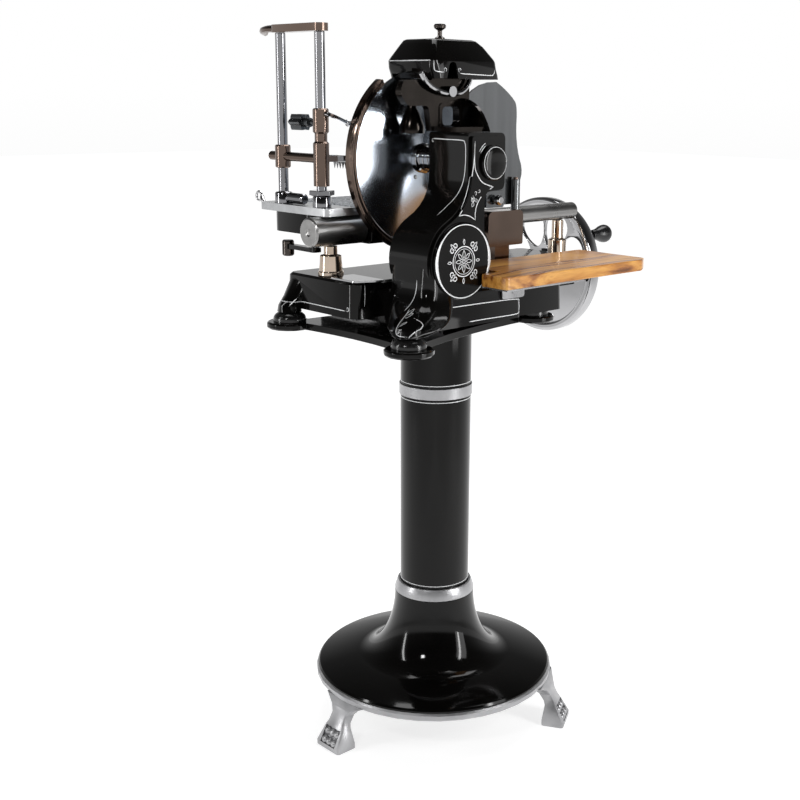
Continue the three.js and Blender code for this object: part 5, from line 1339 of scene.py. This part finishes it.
def lay(made, tree, face, line, width, closed):
    """Drops one stroke onto a surface. It is lifted where the surface steps away from the brush."""
    view, side = face
    along = AXES[view][0] * side
    runs, last = [[]], None
    for a, b in spaced(line, closed):
        place, normal, _, _ = tree.ray_cast(VIEWS[view](a, b) + along, -along)
        if place is None:
            continue
        if last is not None and (place - last).length > PAINT["jump"] * MM:
            runs.append([])
        runs[-1].append((place, normal if normal.dot(along) > 0 else -normal))
        last = place
    for hits in runs:
        if len(hits) > 2:
            ribbon(made, hits, width, closed and len(runs) == 1)


def lined(name, objects, node, strokes):
    """One set of strokes on pieces. Each is (face, line, closed) and may give its own width."""
    tree = surface_of(objects)
    made = bmesh.new()
    for face, line, closed, *own in strokes:
        lay(made, tree, face, line, own[0] if own else BROAD, closed)
    bmesh.ops.recalc_face_normals(made, faces=made.faces)
    mesh = bpy.data.meshes.new(name)
    made.to_mesh(mesh)
    made.free()
    piece = keep(name, mesh, lining, body_of_node[node])
    print(name, "strokes", len(strokes), "faces", len(mesh.polygons))
    return piece


# %% [markdown]
# ### Lines around the column
# Two rings run beside the band and one above the collar. They are turned, because the column is.

# %% Column rings
def turned_line(name, radius, height, width=1.6):
    half = width / 2
    crown, sunk, proud = half * PAINT["crown"], radius - PAINT["sunk"], radius + PAINT["proud"]
    profile = [(sunk, height - half), (proud, height - crown),
               (proud, height + crown), (sunk, height + half)]
    mesh = lathe("z", at(0, 0, 0), profile + profile[:1], 128)
    return keep(name, mesh, lining, "stand")


band_low, band_high = span("column_band")
collar_top = span("column_collar")[1].z
line_gap = 5.5
ring_heights = {
    "band_line_low": band_low.z - line_gap,
    "band_line_high": band_high.z + line_gap,
    "collar_line_high": collar_top + line_gap,
}
for name, height in ring_heights.items():
    turned_line(name, column_radius, height)
print("column rings", len(ring_heights))

# %% [markdown]
# ### The gear column's panels
# The front of the casting carries one long panel that swings round both covers, with a small spray of
# leaves where its sides meet. The near end has one line with a hooked end.

# %% Gear column lining
shaft_side = [(-62, 1097), (-63, 1075), (-66, 1051), (-71, 1027), (-78, 1007), (-88, 988), (-97, 977)]
saddle = [(-97, 977), (-83, 978), (-69, 974), (-59, 968)]
throat = [(-59, 968), (-59, 982), (-54, 996), (-42, 1009), (-25, 1018), (-17, 1021)]
round_head = [(-62, 1095), (-62, 1059), (-55, 1042), (-42, 1029), (-17, 1021)]
spray = (-63, 1004)
front_strokes = [(SLICE_SIDE, curved(line), False) for line in (shaft_side, saddle, throat, round_head)]
spray_curls = ((3.5, 9, 250, 1), (-3.5, 2, 70, -1), (5, -4, 120, -1), (12, 12, 200, 1))
front_strokes += [(SLICE_SIDE, curl((spray[0] + a, spray[1] + b), 3.6, heading, 1.0, hand), False, FINE)
                  for a, b, heading, hand in spray_curls]
spray_foot = (spray[0] - 1, spray[1] - 6)
front_strokes += [(SLICE_SIDE, leaf(spray_foot, (0, 8), heading), True, HAIR) for heading in (80, 120, 250)]
lined("front_lining", [nodes["gear_column"]], "gear_column", front_strokes)

side_line = [(66, 1099), (100, 1098.5), (137, 1098), (143, 1094), (145, 1087), (145, 1060),
             (141, 1032), (132, 1008), (121, 990), (116, 976)]
hook = curl((67, 1095.5), 3.6, 90, turns=0.8)
lined("side_lining", [nodes["gear_column"]], "gear_column",
      [(NEAR_END, curved(side_line), False), (NEAR_END, hook, False, FINE)])

# %% [markdown]
# ### The drum cover's rosette
# The wide cover has a ring that swells at its two sides, and in the middle a rosette of eight leaves in a
# double ring with scrolls at its corners. The leaf and the scroll above are enough to draw it.

# %% Rosette
rosette_centre = middle("drum_cover")
rosette_at = (rosette_centre.y, rosette_centre.z)
outer_ring, swell_width, thin_width = 61, 6.5, 1.8


def swelling(share):
    """Thin above and below, wide at both sides."""
    return thin_width + (swell_width - thin_width) * abs(math.cos(share * TURN)) ** 6


def off(distance, heading):
    """A place at a distance and a heading from the rosette's middle."""
    angle = math.radians(heading)
    return (rosette_at[0] + distance * math.cos(angle), rosette_at[1] + distance * math.sin(angle))


petal_reach, corner_leaf, side_leaf = (5, 18.5), (28, 43), (28, 37)
scroll_out, scroll_spread, scroll_size, scroll_turns, scroll_width = 33, 9, 5.4, 1.15, 2.0
rosette_rings = ((25, 2.0), (21, 1.0), (3, 1.6))
rosette = [(SLICE_SIDE, ring_line(rosette_at, outer_ring)[:-1], True, swelling)]
for radius, width in rosette_rings:
    rosette.append((SLICE_SIDE, ring_line(rosette_at, radius)[:-1], True, width))
for heading in range(0, 360, 45):
    rosette.append((SLICE_SIDE, leaf(rosette_at, petal_reach, heading, 0.2), True, FINE))
for corner in (45, 135, 225, 315):
    for hand in (1, -1):
        start = off(scroll_out, corner + hand * scroll_spread)
        scroll = curl(start, scroll_size, corner - hand * 60, scroll_turns, hand)
        rosette.append((SLICE_SIDE, scroll, False, scroll_width))
    rosette.append((SLICE_SIDE, leaf(rosette_at, corner_leaf, corner, 0.16), True, MEDIUM))
for side_heading in (0, 90, 180, 270):
    rosette.append((SLICE_SIDE, leaf(rosette_at, side_leaf, side_heading, 0.22), True, MEDIUM))
lined("rosette_lining", [drum_cover], "drum_cover", rosette)

# %% [markdown]
# ### The small cover's ring
# A plain ring runs round the bright cap, and two short arcs follow it on the casting beside the cover.

# %% Head ring and arcs
head_centre = middle("shaft_cover")
head_at = (head_centre.y, head_centre.z)
ring_radius, arc_radii, arc_reach = 26.2, (33, 37), (118, 150)
cap_ring = ring_line(head_at, ring_radius)[:-1]
lined("shaft_cover_lining", [shaft_cover], "shaft_cover", [(SLICE_SIDE, cap_ring, True, FINE)])
arcs = [ring_line(head_at, radius, *arc_reach, steps=10) for radius in arc_radii]
lined("head_arcs", [nodes["gear_column"]], "gear_column",
      [(SLICE_SIDE, arc, False, MEDIUM) for arc in arcs])

# %% [markdown]
# ### The base's lines
# A line runs along the near end, under the table, and ends in a scroll. The slice side has a long panel.
# The front leg has a line down its edge and one along its corner, and a spray of scrolls and leaves.

# %% Base lining
arm_line = [(-152, 816), (-112, 815), (-50, 814.5), (14, 814)]
panel_line = [(-134, 826), (-15, 825), (50, 823), (56, 817), (56, 803), (48, 797), (-15, 797), (-70, 797)]
arm_scroll, arm_scroll_width = curl((20, 818), 4.5, 215), 1.3
lined("base_lining", [nodes["base_casting"]], "base_casting", [
    (NEAR_END, curved(arm_line), False), (NEAR_END, arm_scroll, False, arm_scroll_width),
    (SLICE_SIDE, curved(panel_line), False)])
leg_edge = [(128, 874), (128, 850), (127, 826)]
leg_spray = [(134, 829), (146, 815), (164, 806), (184, 801), (202, 801)]
leg_corner = [(-201, 868), (-202, 832), (-207, 817), (-222, 811), (-240, 808), (-252, 799)]
leg_curls = (((150, 823), 4.5, 220), ((166, 814), 4.5, 200), ((158, 801), 4.0, 30), ((184, 808), 3.5, 230))
leg_leaves = (((141, 820), (0, 11), 75), ((176, 803), (0, 10), 40))
leg_strokes = [(NEAR_END, curved(leg_edge), False), (NEAR_END, curved(leg_spray), False, MEDIUM)]
leg_strokes += [(NEAR_END, curl(place, size, heading), False, FINE) for place, size, heading in leg_curls]
leg_strokes += [(NEAR_END, leaf(place, reach, heading), True, HAIR) for place, reach, heading in leg_leaves]
leg_strokes += [(SLICE_SIDE, curved(leg_corner), False)]
lined("leg_lining", [leg_skirt, nodes["base_casting"]], "base_casting", leg_strokes)

# %% [markdown]
# ### The sharpener cover's lines
# The line follows the cover's brim and ends in a scroll at each side of the notch, through which one of
# the sharpening wheels can be seen.

# %% Cover lining
cover_brim = 1226
brim_left = [(-42, cover_brim), (10, cover_brim), (64, cover_brim)]
brim_corner = [(-74, cover_brim), (-73, 1213), (-69, 1208.5), (-60, 1207.5), (-53, 1207.5)]
brim_right = [(-17, 1207), (-10, 1205.5), (30, 1204.5), (60, 1204), (66, 1207), (67, 1214)]
scroll_left = curl((-51.5, 1211.5), 4.0, 290, turns=1.0)
scroll_right = curl((-16.5, 1211.5), 4.0, 250, turns=1.0, hand=-1)
lined("cover_lining", [nodes["sharpener_cover"]], "sharpener_cover", [
    (NEAR_END, brim_left, False), (SLICE_SIDE, curved(brim_corner), False),
    (SLICE_SIDE, scroll_left, False, FINE), (SLICE_SIDE, curved(brim_right), False),
    (SLICE_SIDE, scroll_right, False, FINE)])
